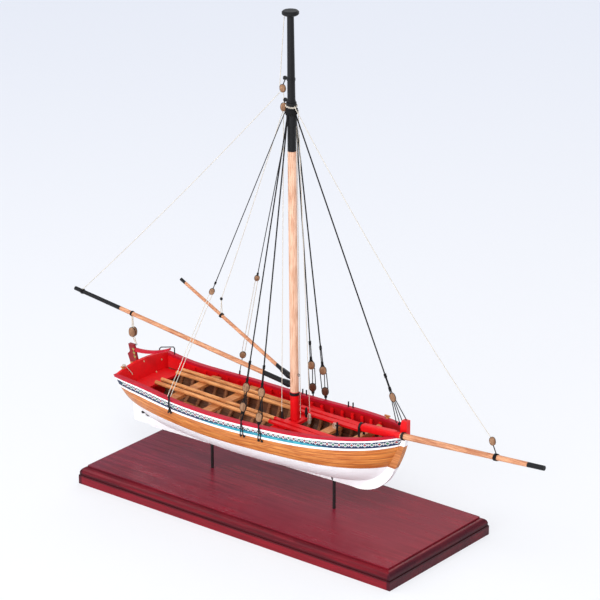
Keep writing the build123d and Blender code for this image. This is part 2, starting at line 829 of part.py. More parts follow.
with BuildPart() as gaff:
    add(spar(gaff_aft, gaff_fore, gaff_end_diameter, gaff_diameter))
gaff.part.label = "gaff"
export_step(gaff.part, "parts/gaff.step")

with BuildPart() as gaff_jaws:
    add(jaws(gaff_fore, gaff_diameter))
    add(gaff.part, mode=Mode.SUBTRACT)
gaff_jaws.part.label = "gaff_jaws"
export_step(gaff_jaws.part, "parts/gaff_jaws.step")

# Beam across the bow that carries the bowsprit's heel
with BuildPart() as bow_beam:
    with BuildSketch(Plane.XY.offset(bow_beam_top_z)):
        with Locations((bow_beam_x, 0)):
            Rectangle(bow_beam_width, plinth_width)
    extrude(amount=-bow_beam_height)
    add(inner_core, mode=Mode.INTERSECT)
bow_beam.part.label = "bow_beam"
export_step(bow_beam.part, "parts/bow_beam.step")

# Bowsprit's irons: a ring at the stem's side and a hoop over the heel, standing on the beam
with BuildPart() as bowsprit_irons:
    bowsprit_run = Vector(bowsprit_tip[0] - bowsprit_heel[0], 0, bowsprit_tip[1] - bowsprit_heel[1])
    ring_plane = Plane(origin=(bowsprit_ring_x, bowsprit_y, bowsprit_z(bowsprit_ring_x)), z_dir=bowsprit_run)
    with BuildSketch(ring_plane):
        Circle(bowsprit_radius(bowsprit_ring_x) + seat_gap + bowsprit_iron_thickness)
        Circle(bowsprit_radius(bowsprit_ring_x) + seat_gap, mode=Mode.SUBTRACT)
    extrude(amount=bowsprit_iron_width)
    hoop_inner = bowsprit_radius(bowsprit_hoop_x) + seat_gap
    hoop_outer = hoop_inner + bowsprit_iron_thickness
    hoop_z = bowsprit_z(bowsprit_hoop_x)
    with BuildSketch(station_plane(bowsprit_hoop_x - bowsprit_iron_width / 2)):
        with Locations((bowsprit_y, hoop_z)):
            Circle(hoop_outer)
            Rectangle(2 * hoop_outer, hoop_z - bow_beam_top_z, align=(Align.CENTER, Align.MAX))
            Circle(hoop_inner, mode=Mode.SUBTRACT)
            Rectangle(2 * hoop_inner, hoop_z - bow_beam_top_z, align=(Align.CENTER, Align.MAX), mode=Mode.SUBTRACT)
    extrude(amount=bowsprit_iron_width)
bowsprit_irons.part.label = "bowsprit_irons"
export_step(bowsprit_irons.part, "parts/bowsprit_irons.step")

# Stern platform
with BuildPart() as stern_platform:
    with BuildSketch(Plane.XY.offset(stern_platform_z)):
        with Locations((stern_platform_fore_x, 0)):
            Rectangle(plinth_width, plinth_width, align=(Align.MAX, Align.CENTER))
    extrude(amount=-stern_platform_thickness)
    add(inner_core, mode=Mode.INTERSECT)
    add(ahead_of_transom, mode=Mode.INTERSECT)
stern_platform.part.label = "stern_platform"
export_step(stern_platform.part, "parts/stern_platform.step")

# Rudder, its fore edge rounded about the hinge line and scored for the irons
hinge_clearance = rudder_thickness / 2 + rudder_gap
rudder_heel_z = rudder_outline[0][0]
rudder_head_top_z = rudder_outline[-1][0]


def hinge_x(z):
    """X of the rudder's hinge line at height z."""
    return post_face(z) - hinge_clearance * rake_stretch


hinge_plane = Plane(origin=(hinge_x(rudder_heel_z), 0, rudder_heel_z), x_dir=(1, 0, post_rake),
                    z_dir=(-post_rake, 0, 1))


def hinge_at(z, shift):
    """Plane square to the hinge line near height z, moved up by shift, its X axis pointing forward."""
    return hinge_plane.offset((z - rudder_heel_z) * rake_stretch + shift)


score_height = gudgeon_height + 2 * gudgeon_end_gap
with BuildPart() as rudder:
    with BuildSketch(Plane.XZ):
        with BuildLine():
            aft_edge = [(hinge_x(z) - breadth, z) for z, breadth in rudder_outline]
            Polyline((hinge_x(rudder_heel_z), rudder_heel_z), *aft_edge,
                     (hinge_x(rudder_head_top_z), rudder_head_top_z), close=True)
        make_face()
    extrude(amount=rudder_thickness / 2, both=True)
    with BuildSketch(hinge_plane):
        Circle(rudder_thickness / 2)
    extrude(amount=(rudder_head_top_z - rudder_heel_z) * rake_stretch)
    for z in pintle_levels:
        with BuildSketch(hinge_at(z, -score_height / 2)):
            Rectangle(2 * hinge_clearance, 2 * rudder_thickness)
        extrude(amount=score_height, mode=Mode.SUBTRACT)
rudder.part.label = "rudder"
export_step(rudder.part, "parts/rudder.step")

# Gudgeons on the sternpost, each an eye on the hinge line with two arms along the post
with BuildPart() as gudgeons:
    arm_inner = half_siding + seat_gap
    arm_outer = arm_inner + iron_thickness
    post_plane_x = hinge_clearance - seat_gap
    for z in pintle_levels:
        with BuildSketch(hinge_at(z, -gudgeon_height / 2)):
            with Locations((post_plane_x - iron_thickness, 0)):
                Rectangle(iron_thickness + gudgeon_arm_length, 2 * arm_outer, align=(Align.MIN, Align.CENTER))
            with Locations((post_plane_x, 0)):
                Rectangle(gudgeon_arm_length, 2 * arm_inner, align=(Align.MIN, Align.CENTER), mode=Mode.SUBTRACT)
            Circle(gudgeon_radius)
            Circle(pintle_radius + pintle_clearance, mode=Mode.SUBTRACT)
        extrude(amount=gudgeon_height)
gudgeons.part.label = "gudgeons"
export_step(gudgeons.part, "parts/gudgeons.step")

# Pintles on the rudder, each a pin through its gudgeon with a strap on either side of the blade
with BuildPart() as pintles:
    strap_offset = rudder_thickness / 2 + iron_thickness / 2
    for z in pintle_levels:
        with BuildSketch(hinge_at(z, -score_height / 2)):
            Circle(pintle_radius)
        extrude(amount=score_height)
        with BuildSketch(hinge_at(z, score_height / 2)):
            with Locations((0, strap_offset), (0, -strap_offset)):
                Rectangle(pintle_strap_length, iron_thickness, align=(Align.MAX, Align.CENTER))
        extrude(amount=gudgeon_height)
pintles.part.label = "pintles"
export_step(pintles.part, "parts/pintles.step")

# Tiller, mortised into the rudder's head
with BuildPart() as tiller:
    with BuildSketch(Plane.XZ):
        with BuildLine():
            root_x = hinge_x(tiller_root_z)
            middle_depth = (tiller_root_depth + tiller_tip_depth) / 2
            depths = (tiller_root_depth, middle_depth, tiller_tip_depth)
            centres = ((root_x, tiller_root_z), tiller_middle, tiller_tip)
            upper = [(x, z + depth / 2) for (x, z), depth in zip(centres, depths)]
            lower = [(x, z - depth / 2) for (x, z), depth in zip(centres, depths)]
            ThreePointArc(*upper)
            ThreePointArc(*lower)
            Line(upper[0], lower[0])
            Line(upper[2], lower[2])
        make_face()
    extrude(amount=tiller_thickness / 2, both=True)
    add(rudder.part, mode=Mode.SUBTRACT)
tiller.part.label = "tiller"
export_step(tiller.part, "parts/tiller.step")

# Oars in pairs on the thwarts, looms aft
oar_z = thwart_top_z + oar_loom_diameter / 2 + seat_gap
with BuildPart() as oars:
    for aft_y, fore_y in oar_lanes:
        run = Vector(oar_fore_x - oar_aft_x, fore_y - aft_y, 0)
        neck = run.length - oar_blade_length
        with BuildSketch(Plane(origin=(oar_aft_x, aft_y, oar_z), z_dir=run)):
            Circle(oar_loom_diameter / 2)
        extrude(amount=neck)
        with BuildSketch(Plane(origin=(oar_aft_x, aft_y, oar_z - oar_blade_thickness / 2), x_dir=run, z_dir=(0, 0, 1))):
            loom_half = oar_loom_diameter / 2
            blade_half = oar_blade_width / 2
            Polygon((neck, -loom_half), (run.length, -blade_half), (run.length, blade_half), (neck, loom_half),
                    align=None)
        extrude(amount=oar_blade_thickness)
oars.part.label = "oars"
export_step(oars.part, "parts/oars.step")


def line_between(start, end, diameter):
    """Round line between two points."""
    run = Vector(*end) - Vector(*start)
    with BuildPart() as line:
        with Locations(Plane(origin=tuple(start), z_dir=run)):
            Cylinder(diameter / 2, run.length, align=(Align.CENTER, Align.CENTER, Align.MIN))
    return line.part


def block_plane(centre, along):
    """Plane of a block's broad side, its X axis along the line that the block hangs on."""
    return Plane(origin=tuple(centre), x_dir=along, z_dir=along.cross(Vector(1, 0, 0)))


def block(centre, along):
    """Block with rounded ends about a point."""
    with BuildPart() as shell:
        with BuildSketch(block_plane(centre, along).offset(-block_thickness / 2)):
            SlotOverall(block_length, block_width)
        extrude(amount=block_thickness)
    return shell.part


# Lines of the shrouds, from the chainplates' middle to the mast's sides
strap_inset = cap_overhang + fitting_gap + chainplate_thickness / 2
chainplate_tops = []
shroud_lines = []
for side, x, lower_z, upper_z in shroud_rows:
    rail = section_at(x)
    top = Vector(x, side * (rail[4] + strap_inset), sheer_z(x) + chainplate_top_rise)
    head = Vector(mast_x(shroud_top_z), side * (mast_radius(shroud_top_z) + hounds_thickness + shroud_diameter / 2),
                  shroud_top_z)
    chainplate_tops.append(top)
    shroud_lines.append((top, head, (head - top).normalized()))


def point_at(line, z):
    """Point of a shroud's line at height z."""
    top, head = line[:2]
    return top + (head - top) * ((z - top.Z) / (head.Z - top.Z))


half_block = block_length / 2
with BuildPart() as chainplates:
    for (side, x, lower_z, upper_z), top in zip(shroud_rows, chainplate_tops):
        inner_face = -cap_overhang - fitting_gap
        profile = rib_profile(x, inner_face - chainplate_thickness, inner_face, chainplate_foot_z, top.Z,
                              chainplate_width)
        with BuildSketch(station_plane(x - chainplate_width / 2)):
            add(profile if side > 0 else profile.mirror(Plane.YZ))
        extrude(amount=chainplate_width)
chainplates.part.label = "chainplates"
export_step(chainplates.part, "parts/chainplates.step")

with BuildPart() as shroud_blocks:
    for (side, x, lower_z, upper_z), line in zip(shroud_rows, shroud_lines):
        add(block(point_at(line, lower_z), line[2]))
        add(block(point_at(line, upper_z), line[2]))
shroud_blocks.part.label = "shroud_blocks"
export_step(shroud_blocks.part, "parts/shroud_blocks.step")

# Strops under the lower blocks and tackles between each pair of blocks
with BuildPart() as shroud_falls:
    for (side, x, lower_z, upper_z), line in zip(shroud_rows, shroud_lines):
        top, along = line[0], line[2]
        lower = point_at(line, lower_z)
        upper = point_at(line, upper_z)
        across = Vector(1, 0, 0) - along * along.X
        add(line_between(top + along * seat_gap, lower - along * half_block, fall_diameter))
        for shift in (-fall_spacing / 2, fall_spacing / 2):
            add(line_between(lower + along * half_block + across * shift, upper - along * half_block + across * shift,
                             fall_diameter))
shroud_falls.part.label = "shroud_falls"
export_step(shroud_falls.part, "parts/shroud_falls.step")

with BuildPart() as shrouds:
    for (side, x, lower_z, upper_z), line in zip(shroud_rows, shroud_lines):
        add(line_between(point_at(line, upper_z) + line[2] * half_block, line[1], shroud_diameter))
shrouds.part.label = "shrouds"
export_step(shrouds.part, "parts/shrouds.step")

# Forestay with its block and the lashing to the stem's head
stay_foot = Vector(forestay_block[0], 0, forestay_block[1])
stay_reach = mast_radius(forestay_top_z) + hounds_thickness + shroud_diameter / 2
stay_head = Vector(mast_x(forestay_top_z) + stay_reach, 0, forestay_top_z)
stay_along = (stay_head - stay_foot).normalized()
with BuildPart() as forestay:
    add(line_between(stay_foot + stay_along * half_block, stay_head, shroud_diameter))
    for x in forestay_fall_feet:
        stem_top = Vector(x, 0, stem_head_top_z + seat_gap)
        fall_along = (stem_top - stay_foot).normalized()
        add(line_between(stay_foot + fall_along * half_block, stem_top, fall_diameter))
forestay.part.label = "forestay"
export_step(forestay.part, "parts/forestay.step")

with BuildPart() as stay_block:
    with BuildSketch(Plane(origin=tuple(stay_foot), x_dir=stay_along, z_dir=(0, 1, 0)).offset(-block_thickness / 2)):
        SlotOverall(block_length, block_width)
    extrude(amount=block_thickness)
stay_block.part.label = "stay_block"
export_step(stay_block.part, "parts/stay_block.step")

# Thole pins in the port cap
with BuildPart() as thole_pins:
    for x in thole_stations:
        rail_y = section_at(x)[4] + (cap_overhang - cap_inner_cover) / 2
        foot_z = sheer_z(x) + cap_thickness + fitting_gap
        with BuildSketch(Plane.XY.offset(foot_z)):
            with Locations((x, rail_y)):
                Circle(thole_diameter / 2)
        extrude(amount=thole_height)
thole_pins.part.label = "thole_pins"
export_step(thole_pins.part, "parts/thole_pins.step")


def cleat(plane):
    """Cleat with two horns along the plane's X axis, standing up its Y axis."""
    with BuildPart() as body:
        with BuildSketch(plane.offset(-cleat_thickness / 2)):
            Rectangle(cleat_length / 2, cleat_height, align=(Align.CENTER, Align.MIN))
            with Locations((0, cleat_height)):
                Rectangle(cleat_length, cleat_horn_depth, align=(Align.CENTER, Align.MAX))
        extrude(amount=cleat_thickness)
    return body.part


# Cleats on the transom's top and on the port bow rail
with BuildPart() as cleats:
    crown_radius = (transom_crown_half_width ** 2 + transom_crown ** 2) / (2 * transom_crown)
    crown_drop = crown_radius - math.sqrt(crown_radius ** 2 - transom_cleat_y ** 2)
    crown_z = transom_side_z + transom_crown - crown_drop + fitting_gap
    crown_x = post_face(crown_z) + (transom_aft + transom_fore) / 2
    add(cleat(Plane(origin=(crown_x, transom_cleat_y, crown_z), x_dir=(0, 1, 0), z_dir=(1, 0, 0))))
    bow_rail = section_at(rail_cleat_x)
    rail_top = sheer_z(rail_cleat_x) + cap_thickness + 2 * fitting_gap
    rail_y = bow_rail[4] + (cap_overhang - cap_inner_cover) / 2
    add(cleat(Plane(origin=(rail_cleat_x, rail_y, rail_top), x_dir=(1, 0, 0), z_dir=(0, -1, 0))))
cleats.part.label = "cleats"
export_step(cleats.part, "parts/cleats.step")
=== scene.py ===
"""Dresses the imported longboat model: finishes for every node, running rigging, blocks, fittings and light."""

import logging
import math
from dataclasses import dataclass, field
from enum import Enum
from typing import NamedTuple

import bmesh
import bpy
from mathutils import Matrix, Vector
from mathutils.bvhtree import BVHTree


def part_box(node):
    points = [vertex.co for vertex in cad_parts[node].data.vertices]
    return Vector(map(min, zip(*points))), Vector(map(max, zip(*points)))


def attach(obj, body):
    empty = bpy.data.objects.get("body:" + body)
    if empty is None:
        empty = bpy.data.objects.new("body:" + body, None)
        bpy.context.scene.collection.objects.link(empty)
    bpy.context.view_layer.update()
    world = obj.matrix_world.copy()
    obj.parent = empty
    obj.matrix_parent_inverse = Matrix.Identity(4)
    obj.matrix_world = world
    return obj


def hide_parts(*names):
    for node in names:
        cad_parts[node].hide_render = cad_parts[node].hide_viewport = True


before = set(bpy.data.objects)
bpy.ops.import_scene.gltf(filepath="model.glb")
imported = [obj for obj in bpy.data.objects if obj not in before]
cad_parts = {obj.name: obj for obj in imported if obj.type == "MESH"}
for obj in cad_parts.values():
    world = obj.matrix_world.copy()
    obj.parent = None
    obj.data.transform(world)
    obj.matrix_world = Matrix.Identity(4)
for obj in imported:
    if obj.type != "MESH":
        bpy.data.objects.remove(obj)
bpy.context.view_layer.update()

MM = 0.001
UP = Vector((0.0, 0.0, 1.0))
Point = tuple[float, float, float]
Place = Point | Vector
Colour = tuple[float, float, float]

log = logging.getLogger("longboat")

# Curves of the hull that the paint follows, in millimetres along the boat and up from the table
SHEER_POINTS = ((-84.0, 45.8), (-56.0, 43.1), (-30.0, 42.5), (18.0, 44.1), (68.0, 50.5))
WATERLINE_POINTS = ((-84.0, 34.6), (-56.0, 32.2), (-20.0, 31.4), (24.0, 32.9), (68.0, 35.6))
FRIEZE_DEPTH = 3.4
MOULDING_WIDTH = 0.8
PAINT_EDGE = 0.08
HOUNDS_HEIGHT = 172.0


class Axis(Enum):
    """The way that a piece's grain or brush marks run."""

    ALONG = 0
    ACROSS = 1
    UP = 2


def shade(red: int, green: int, blue: int) -> Colour:
    """Returns the linear colour of three display values from 0 to 255."""
    values = [value / 255 for value in (red, green, blue)]
    return tuple(v / 12.92 if v <= 0.04045 else ((v + 0.055) / 1.055) ** 2.4 for v in values)


def arc_through(points: tuple) -> tuple[float, float, float]:
    """Finds the circle through three points of a side view.

    Args:
        points: three pairs of millimetres along and up.

    Returns:
        The centre's two values and the radius.
    """
    (ax, ay), (bx, by), (cx, cy) = points
    d = 2 * (ax * (by - cy) + bx * (cy - ay) + cx * (ay - by))
    a2, b2, c2 = ax * ax + ay * ay, bx * bx + by * by, cx * cx + cy * cy
    x = (a2 * (by - cy) + b2 * (cy - ay) + c2 * (ay - by)) / d
    y = (a2 * (cx - bx) + b2 * (ax - cx) + c2 * (bx - ax)) / d
    return x, y, math.hypot(ax - x, ay - y)


class Nodes:
    """Adds nodes to one tree and joins them, so that a finish reads as a list of steps."""

    def __init__(self, tree: bpy.types.NodeTree) -> None:
        """Keeps the tree that the nodes go into."""
        self.tree = tree

    def add(self, kind: str, **settings) -> bpy.types.Node:
        """Returns a new node of that kind with its settings made."""
        node = self.tree.nodes.new(kind)
        for name, value in settings.items():
            setattr(node, name, value)
        return node

    def feed(self, target: bpy.types.NodeSocket, value) -> None:
        """Joins a socket to the target, or writes a plain value or colour on it."""
        if isinstance(value, bpy.types.NodeSocket):
            self.tree.links.new(value, target)
        elif isinstance(value, tuple) and len(value) == 3 and target.type == "RGBA":
            target.default_value = (*value, 1.0)
        else:
            target.default_value = value

    def fill(self, node: bpy.types.Node, feeds: dict) -> None:
        """Feeds a node's inputs by their names or numbers."""
        for key, value in feeds.items():
            self.feed(node.inputs[key], value)

    def run(self, kind: str, feeds: dict, **settings) -> bpy.types.NodeSocket:
        """Returns the first output of a new node with its inputs fed."""
        node = self.add(kind, **settings)
        self.fill(node, feeds)
        return node.outputs[0]

    def math(self, operation: str, first, second=0.0, clamp: bool = False) -> bpy.types.NodeSocket:
        """Returns the result of one sum on two values."""
        return self.run("ShaderNodeMath", {0: first, 1: second}, operation=operation, use_clamp=clamp)

    def times(self, first, second) -> bpy.types.NodeSocket:
        """Returns the product of two values."""
        return self.math("MULTIPLY", first, second)

    def plus(self, first, second, clamp: bool = False) -> bpy.types.NodeSocket:
        """Returns the sum of two values."""
        return self.math("ADD", first, second, clamp)

    def minus(self, first, second) -> bpy.types.NodeSocket:
        """Returns the first value less the second."""
        return self.math("SUBTRACT", first, second)

    def rest(self, value) -> bpy.types.NodeSocket:
        """Returns what is left of 1."""
        return self.minus(1.0, value)

    def joined(self, *values) -> bpy.types.NodeSocket:
        """Returns a vector of up to three values."""
        return self.run("ShaderNodeCombineXYZ", dict(enumerate(values)))

    def mix(self, share, first, second) -> bpy.types.NodeSocket:
        """Returns the first colour turned into the second by share."""
        node = self.add("ShaderNodeMix", data_type="RGBA")
        self.fill(node, {0: share, 6: first, 7: second})
        return node.outputs[2]

    def blend(self, share, first, second) -> bpy.types.NodeSocket:
        """Returns the first value turned into the second by share."""
        return self.run("ShaderNodeMix", {0: share, 2: first, 3: second}, data_type="FLOAT")

    def step(self, value, low: float, high: float) -> bpy.types.NodeSocket:
        """Returns 0 below low, 1 above high and a soft rise between them."""
        return self.run("ShaderNodeMapRange", {0: value, 1: low, 2: high}, interpolation_type="SMOOTHSTEP")

    def band(self, value, low: float, high: float, soft: float) -> bpy.types.NodeSocket:
        """Returns 1 where the value lies between low and high, with soft edges."""
        return self.times(self.step(value, low - soft, low + soft),
                         self.rest(self.step(value, high - soft, high + soft)))

    def noise(self, vector, scale: float, detail: float = 2.0, twist: float = 0.0) -> bpy.types.NodeSocket:
        """Returns a noise value at that scale."""
        return self.run("ShaderNodeTexNoise", {"Vector": vector, "Scale": scale, "Detail": detail,
                                               "Distortion": twist})

    def stretch(self, vector, factors: Point) -> bpy.types.NodeSocket:
        """Returns the vector with each of its parts multiplied."""
        return self.run("ShaderNodeVectorMath", {0: vector, 1: factors}, operation="MULTIPLY")

    def group(self, tree: bpy.types.NodeTree, **inputs) -> bpy.types.Node:
        """Returns a placed node group with its named inputs fed."""
        node = self.add("ShaderNodeGroup", node_tree=tree)
        for name, value in inputs.items():
            self.feed(node.inputs[name.replace("_", " ")], value)
        return node

    def place(self) -> bpy.types.NodeSocket:
        """Returns the place on the boat in millimetres."""
        node = self.add("ShaderNodeTexCoord")
        return self.stretch(node.outputs["Object"], (1000.0, 1000.0, 1000.0))

    def parts(self, vector) -> tuple:
        """Returns the three parts of a vector as values."""
        node = self.add("ShaderNodeSeparateXYZ")
        self.feed(node.inputs[0], vector)
        return node.outputs[0], node.outputs[1], node.outputs[2]

    def height_on_arcs(self, along, points: tuple) -> bpy.types.NodeSocket:
        """Returns the height of a line of two arcs at that place along the boat."""
        heights = []
        for start in (0, 2):
            x, y, radius = arc_through(points[start:start + 3])
            run = self.minus(along, x)
            fall = self.minus(radius * radius, self.times(run, run))
            heights.append(self.minus(y, self.math("SQRT", fall)))
        return self.blend(self.math("GREATER_THAN", along, points[2][0]), heights[0], heights[1])

    def outside(self, across) -> bpy.types.NodeSocket:
        """Returns 1 on faces that look out from the hull's middle or down, and 0 on faces that look in."""
        node = self.add("ShaderNodeTexCoord")
        _, side, up = self.parts(node.outputs["Normal"])
        out = self.times(side, self.math("SIGN", across))
        return self.step(self.minus(out, self.times(up, 0.6)), -0.12, 0.12)


BLACKNESS = (0.0, 0.0, 0.0)
LAYER_SOCKETS = (("Color", "Color"), ("Height", "Float"), ("Gloss", "Float"))


class Groups:
    """Builds each shared shader group once and hands it out."""

    def __init__(self) -> None:
        """Builds the groups for grain, brushed paint, the frieze and laid cord."""
        self.grain = self.wood_grain()
        self.paint = self.brushed_paint()
        self.frieze = self.frieze_band()
        self.cord = self.cord_lay()

    @staticmethod
    def start(name: str, inputs: tuple, outputs: tuple) -> tuple:
        """Makes an empty group.

        Args:
            name: the group's name.
            inputs: pairs of a name and a socket kind.
            outputs: pairs of a name and a socket kind.

        Returns:
            The tree, its node helper, what its input node gives and its output node.
        """
        tree = bpy.data.node_groups.new(name, "ShaderNodeTree")
        for way, sockets in (("INPUT", inputs), ("OUTPUT", outputs)):
            for socket, kind in sockets:
                tree.interface.new_socket(name=socket, in_out=way, socket_type=f"NodeSocket{kind}")
        nodes = Nodes(tree)
        return tree, nodes, nodes.add("NodeGroupInput").outputs, nodes.add("NodeGroupOutput")

    def wood_grain(self) -> bpy.types.NodeTree:
        """Returns streaked grain that runs along the first part of its vector."""
        tree, n, given, out = self.start(
            "wood_grain",
            (("Vector", "Vector"), ("Pale", "Color"), ("Dark", "Color"), ("Fineness", "Float")), LAYER_SOCKETS)
        scaled = n.run("ShaderNodeVectorMath", {0: given["Vector"], "Scale": given["Fineness"]},
                       operation="SCALE")
        streaks = n.noise(n.stretch(scaled, (0.05, 1.0, 1.0)), 1.6, 4.0, 0.4)
        pores = n.noise(n.stretch(scaled, (0.22, 3.4, 3.4)), 2.4, 3.0)
        clouds = n.noise(n.stretch(scaled, (0.2, 0.5, 0.5)), 0.5, 2.0)
        tone = n.plus(n.times(n.step(streaks, 0.34, 0.66), 0.62), n.times(n.step(clouds, 0.3, 0.7), 0.38))
        flecks = n.times(n.step(pores, 0.60, 0.72), 0.55)
        dark = n.plus(tone, flecks, True)
        n.fill(out, {"Color": n.mix(dark, given["Pale"], given["Dark"]), "Height": n.rest(dark),
                     "Gloss": n.times(n.minus(dark, 0.5), 0.16)})
        return tree

    def brushed_paint(self) -> bpy.types.NodeTree:
        """Returns hand-laid paint with faint brush marks, pooled tone and thin places."""
        tree, n, given, out = self.start(
            "brushed_paint", (("Vector", "Vector"), ("Paint", "Color"), ("Under", "Color"), ("Wear", "Float"),
                              ("Pooling", "Float")), LAYER_SOCKETS)
        marks = n.noise(n.stretch(given["Vector"], (0.12, 1.6, 1.6)), 1.5, 3.0)
        pooled = n.noise(given["Vector"], 0.35, 3.0)
        chips = n.noise(given["Vector"], 1.9, 5.0, 0.5)
        deeper = n.mix(n.times(n.step(pooled, 0.35, 0.65), given["Pooling"]), given["Paint"],
                       n.mix(0.5, given["Paint"], BLACKNESS))
        worn = n.times(n.step(chips, 0.62, 0.74), given["Wear"])
        n.fill(out, {"Color": n.mix(worn, deeper, given["Under"]), "Height": n.minus(marks, worn),
                     "Gloss": n.plus(n.times(n.minus(marks, 0.5), 0.14), n.times(worn, 0.25))})
        return tree

    def frieze_band(self) -> bpy.types.NodeTree:
        """Returns a generic band of white lozenges with red and green buds on dark blue, 2 mm deep."""
        tree, n, given, out = self.start(
            "frieze_band", (("Along", "Float"), ("Across", "Float")), (("Color", "Color"), ("Relief", "Float")))
        repeat, half_width = 2.5, 0.9
        turn = n.math("DIVIDE", given["Along"], repeat)
        cell = n.minus(n.math("FRACT", n.plus(turn, 40.0)), 0.5)
        spread = n.times(n.math("ABSOLUTE", cell), repeat)
        rise = n.times(n.math("ABSOLUTE", given["Across"]), half_width)
        lozenge = n.plus(n.times(spread, 0.82), rise)
        outline = n.band(lozenge, 0.56, 0.84, 0.07)
        bud = n.math("SQRT", n.plus(n.times(spread, spread), n.times(rise, rise)))
        gap = n.minus(repeat / 2, spread)
        leaf = n.plus(n.times(gap, 2.1), n.times(rise, 0.95))
        odd = n.math("GREATER_THAN", n.math("FRACT", n.times(n.math("FLOOR", n.plus(turn, 40.0)), 0.5)), 0.25)
        ground, white = shade(36, 50, 84), shade(236, 238, 236)
        red, green, gold = shade(196, 52, 44), shade(74, 148, 96), shade(214, 176, 84)
        colour = n.mix(outline, ground, white)
        colour = n.mix(n.rest(n.step(bud, 0.24, 0.34)), colour, n.mix(odd, red, green))
        colour = n.mix(n.band(leaf, 0.28, 0.62, 0.06), colour, white)
        colour = n.mix(n.rest(n.step(leaf, 0.18, 0.28)), colour, n.mix(odd, gold, red))
        n.fill(out, {"Color": colour, "Relief": outline})
        return tree

    def cord_lay(self) -> bpy.types.NodeTree:
        """Returns the lay of a three-strand cord, with painted shade in its grooves, from the place round and along
        it.
        """
        tree, n, given, out = self.start(
            "cord_lay", (("Strand", "Vector"), ("Cord", "Color"), ("Pitch", "Float")),
            (("Color", "Color"), ("Height", "Float")))
        x, y, along = n.parts(given["Strand"])
        strands = 3
        turn = n.times(n.math("ARCTAN2", y, x), float(strands))
        wave = n.math("SINE", n.plus(turn, n.times(n.math("DIVIDE", along, given["Pitch"]), 2 * strands * math.pi)))
        lift = n.plus(n.times(wave, 0.5), 0.5)
        # Painted shade: the grooves between the strands are darkened towards black.
        n.fill(out, {"Color": n.mix(n.times(n.rest(lift), 0.45), given["Cord"], BLACKNESS), "Height": lift})
        return tree


GROUPS = Groups()


def new_material(name: str) -> tuple[bpy.types.Material, Nodes, bpy.types.Node]:
    """Makes an empty node material.

    Args:
        name: the material's name.

    Returns:
        The material, its node helper and its Principled shader.
    """
    material = bpy.data.materials.new(f"{name}_finish")
    material.use_nodes = True
    material.node_tree.nodes.clear()
    n = Nodes(material.node_tree)
    shader = n.add("ShaderNodeBsdfPrincipled")
    output = n.add("ShaderNodeOutputMaterial")
    n.feed(output.inputs["Surface"], shader.outputs["BSDF"])
    return material, n, shader


class Layer(NamedTuple):
    """What one placed finish gives: its colour, its change in roughness and its height."""

    colour: bpy.types.NodeSocket
    gloss: bpy.types.NodeSocket
    height: bpy.types.NodeSocket

    @classmethod
    def of(cls, node: bpy.types.Node) -> "Layer":
        """Returns what a placed group gives."""
        return cls(*(node.outputs[name] for name in ("Color", "Gloss", "Height")))

    def under(self, n: Nodes, share, upper: "Layer") -> "Layer":
        """Returns this layer with a share of another over it."""
        return Layer(n.mix(share, self.colour, upper.colour), n.blend(share, self.gloss, upper.gloss),
                     n.blend(share, self.height, upper.height))


def surface(n: Nodes, shader: bpy.types.Node, layer: Layer, roughness: float, depth: float) -> None:
    """Feeds a shader's colour, roughness and bump.

    Args:
        n: the material's node helper.
        shader: its Principled shader.
        layer: what it shows.
        roughness: the middle roughness.
        depth: how deep the full range of the layer's height is, in millimetres.
    """
    bump = n.run("ShaderNodeBump", {"Strength": 0.6, "Distance": depth * MM, "Height": layer.height})
    n.fill(shader, {"Base Color": layer.colour, "Specular IOR Level": 0.25,
                    "Roughness": n.plus(layer.gloss, roughness, True), "Normal": bump})


@dataclass(frozen=True)
class Wood:
    """Bare oiled or varnished wood."""

    name: str
    pale: Colour
    dark: Colour
    grain: Axis = Axis.ALONG
    fineness: float = 1.0
    roughness: float = 0.42
    coat: float = 0.0

    def grain_vector(self, n: Nodes) -> bpy.types.NodeSocket:
        """Returns the place in millimetres, turned so that the grain runs along its first part."""
        x, y, z = n.parts(n.place())
        order = {Axis.ALONG: (x, y, z), Axis.ACROSS: (y, x, z), Axis.UP: (z, x, y)}[self.grain]
        return n.joined(*order)

    def laid(self, n: Nodes) -> Layer:
        """Returns this wood placed in a material."""
        return Layer.of(n.group(GROUPS.grain, Vector=self.grain_vector(n), Pale=self.pale, Dark=self.dark,
                                Fineness=self.fineness))

    def material(self) -> bpy.types.Material:
        """Returns the finished material."""
        material, n, shader = new_material(self.name)
        surface(n, shader, self.laid(n), self.roughness, 0.05)
        n.fill(shader, {"Coat Weight": self.coat, "Coat Roughness": 0.18})
        return material


@dataclass(frozen=True)
class Paint:
    """Hand-laid paint over wood or iron."""

    name: str
    paint: Colour
    under: Colour = (0.35, 0.2, 0.1)
    wear: float = 0.0
    roughness: float = 0.4
    pooling: float = 0.22

    def laid(self, n: Nodes) -> Layer:
        """Returns this paint placed in a material."""
        return Layer.of(n.group(GROUPS.paint, Vector=n.place(), Paint=self.paint, Under=self.under, Wear=self.wear,
                                Pooling=self.pooling))

    def material(self) -> bpy.types.Material:
        """Returns the finished material."""
        material, n, shader = new_material(self.name)
        surface(n, shader, self.laid(n), self.roughness, 0.04)
        return material


@dataclass(frozen=True)
class Cord:
    """Laid cord, seen with its strands."""

    name: str
    colour: Colour
    pitch: float

    def material(self) -> bpy.types.Material:
        """Returns the finished material."""
        material, n, shader = new_material(self.name)
        strand = n.add("ShaderNodeAttribute", attribute_name="strand")
        lay = n.group(GROUPS.cord, Strand=strand.outputs["Vector"], Cord=self.colour, Pitch=self.pitch)
        fuzz = n.noise(n.place(), 3.0, 3.0)
        surface(n, shader, Layer(lay.outputs["Color"], n.times(fuzz, 0.12), lay.outputs["Height"]), 0.72, 0.06)
        return material


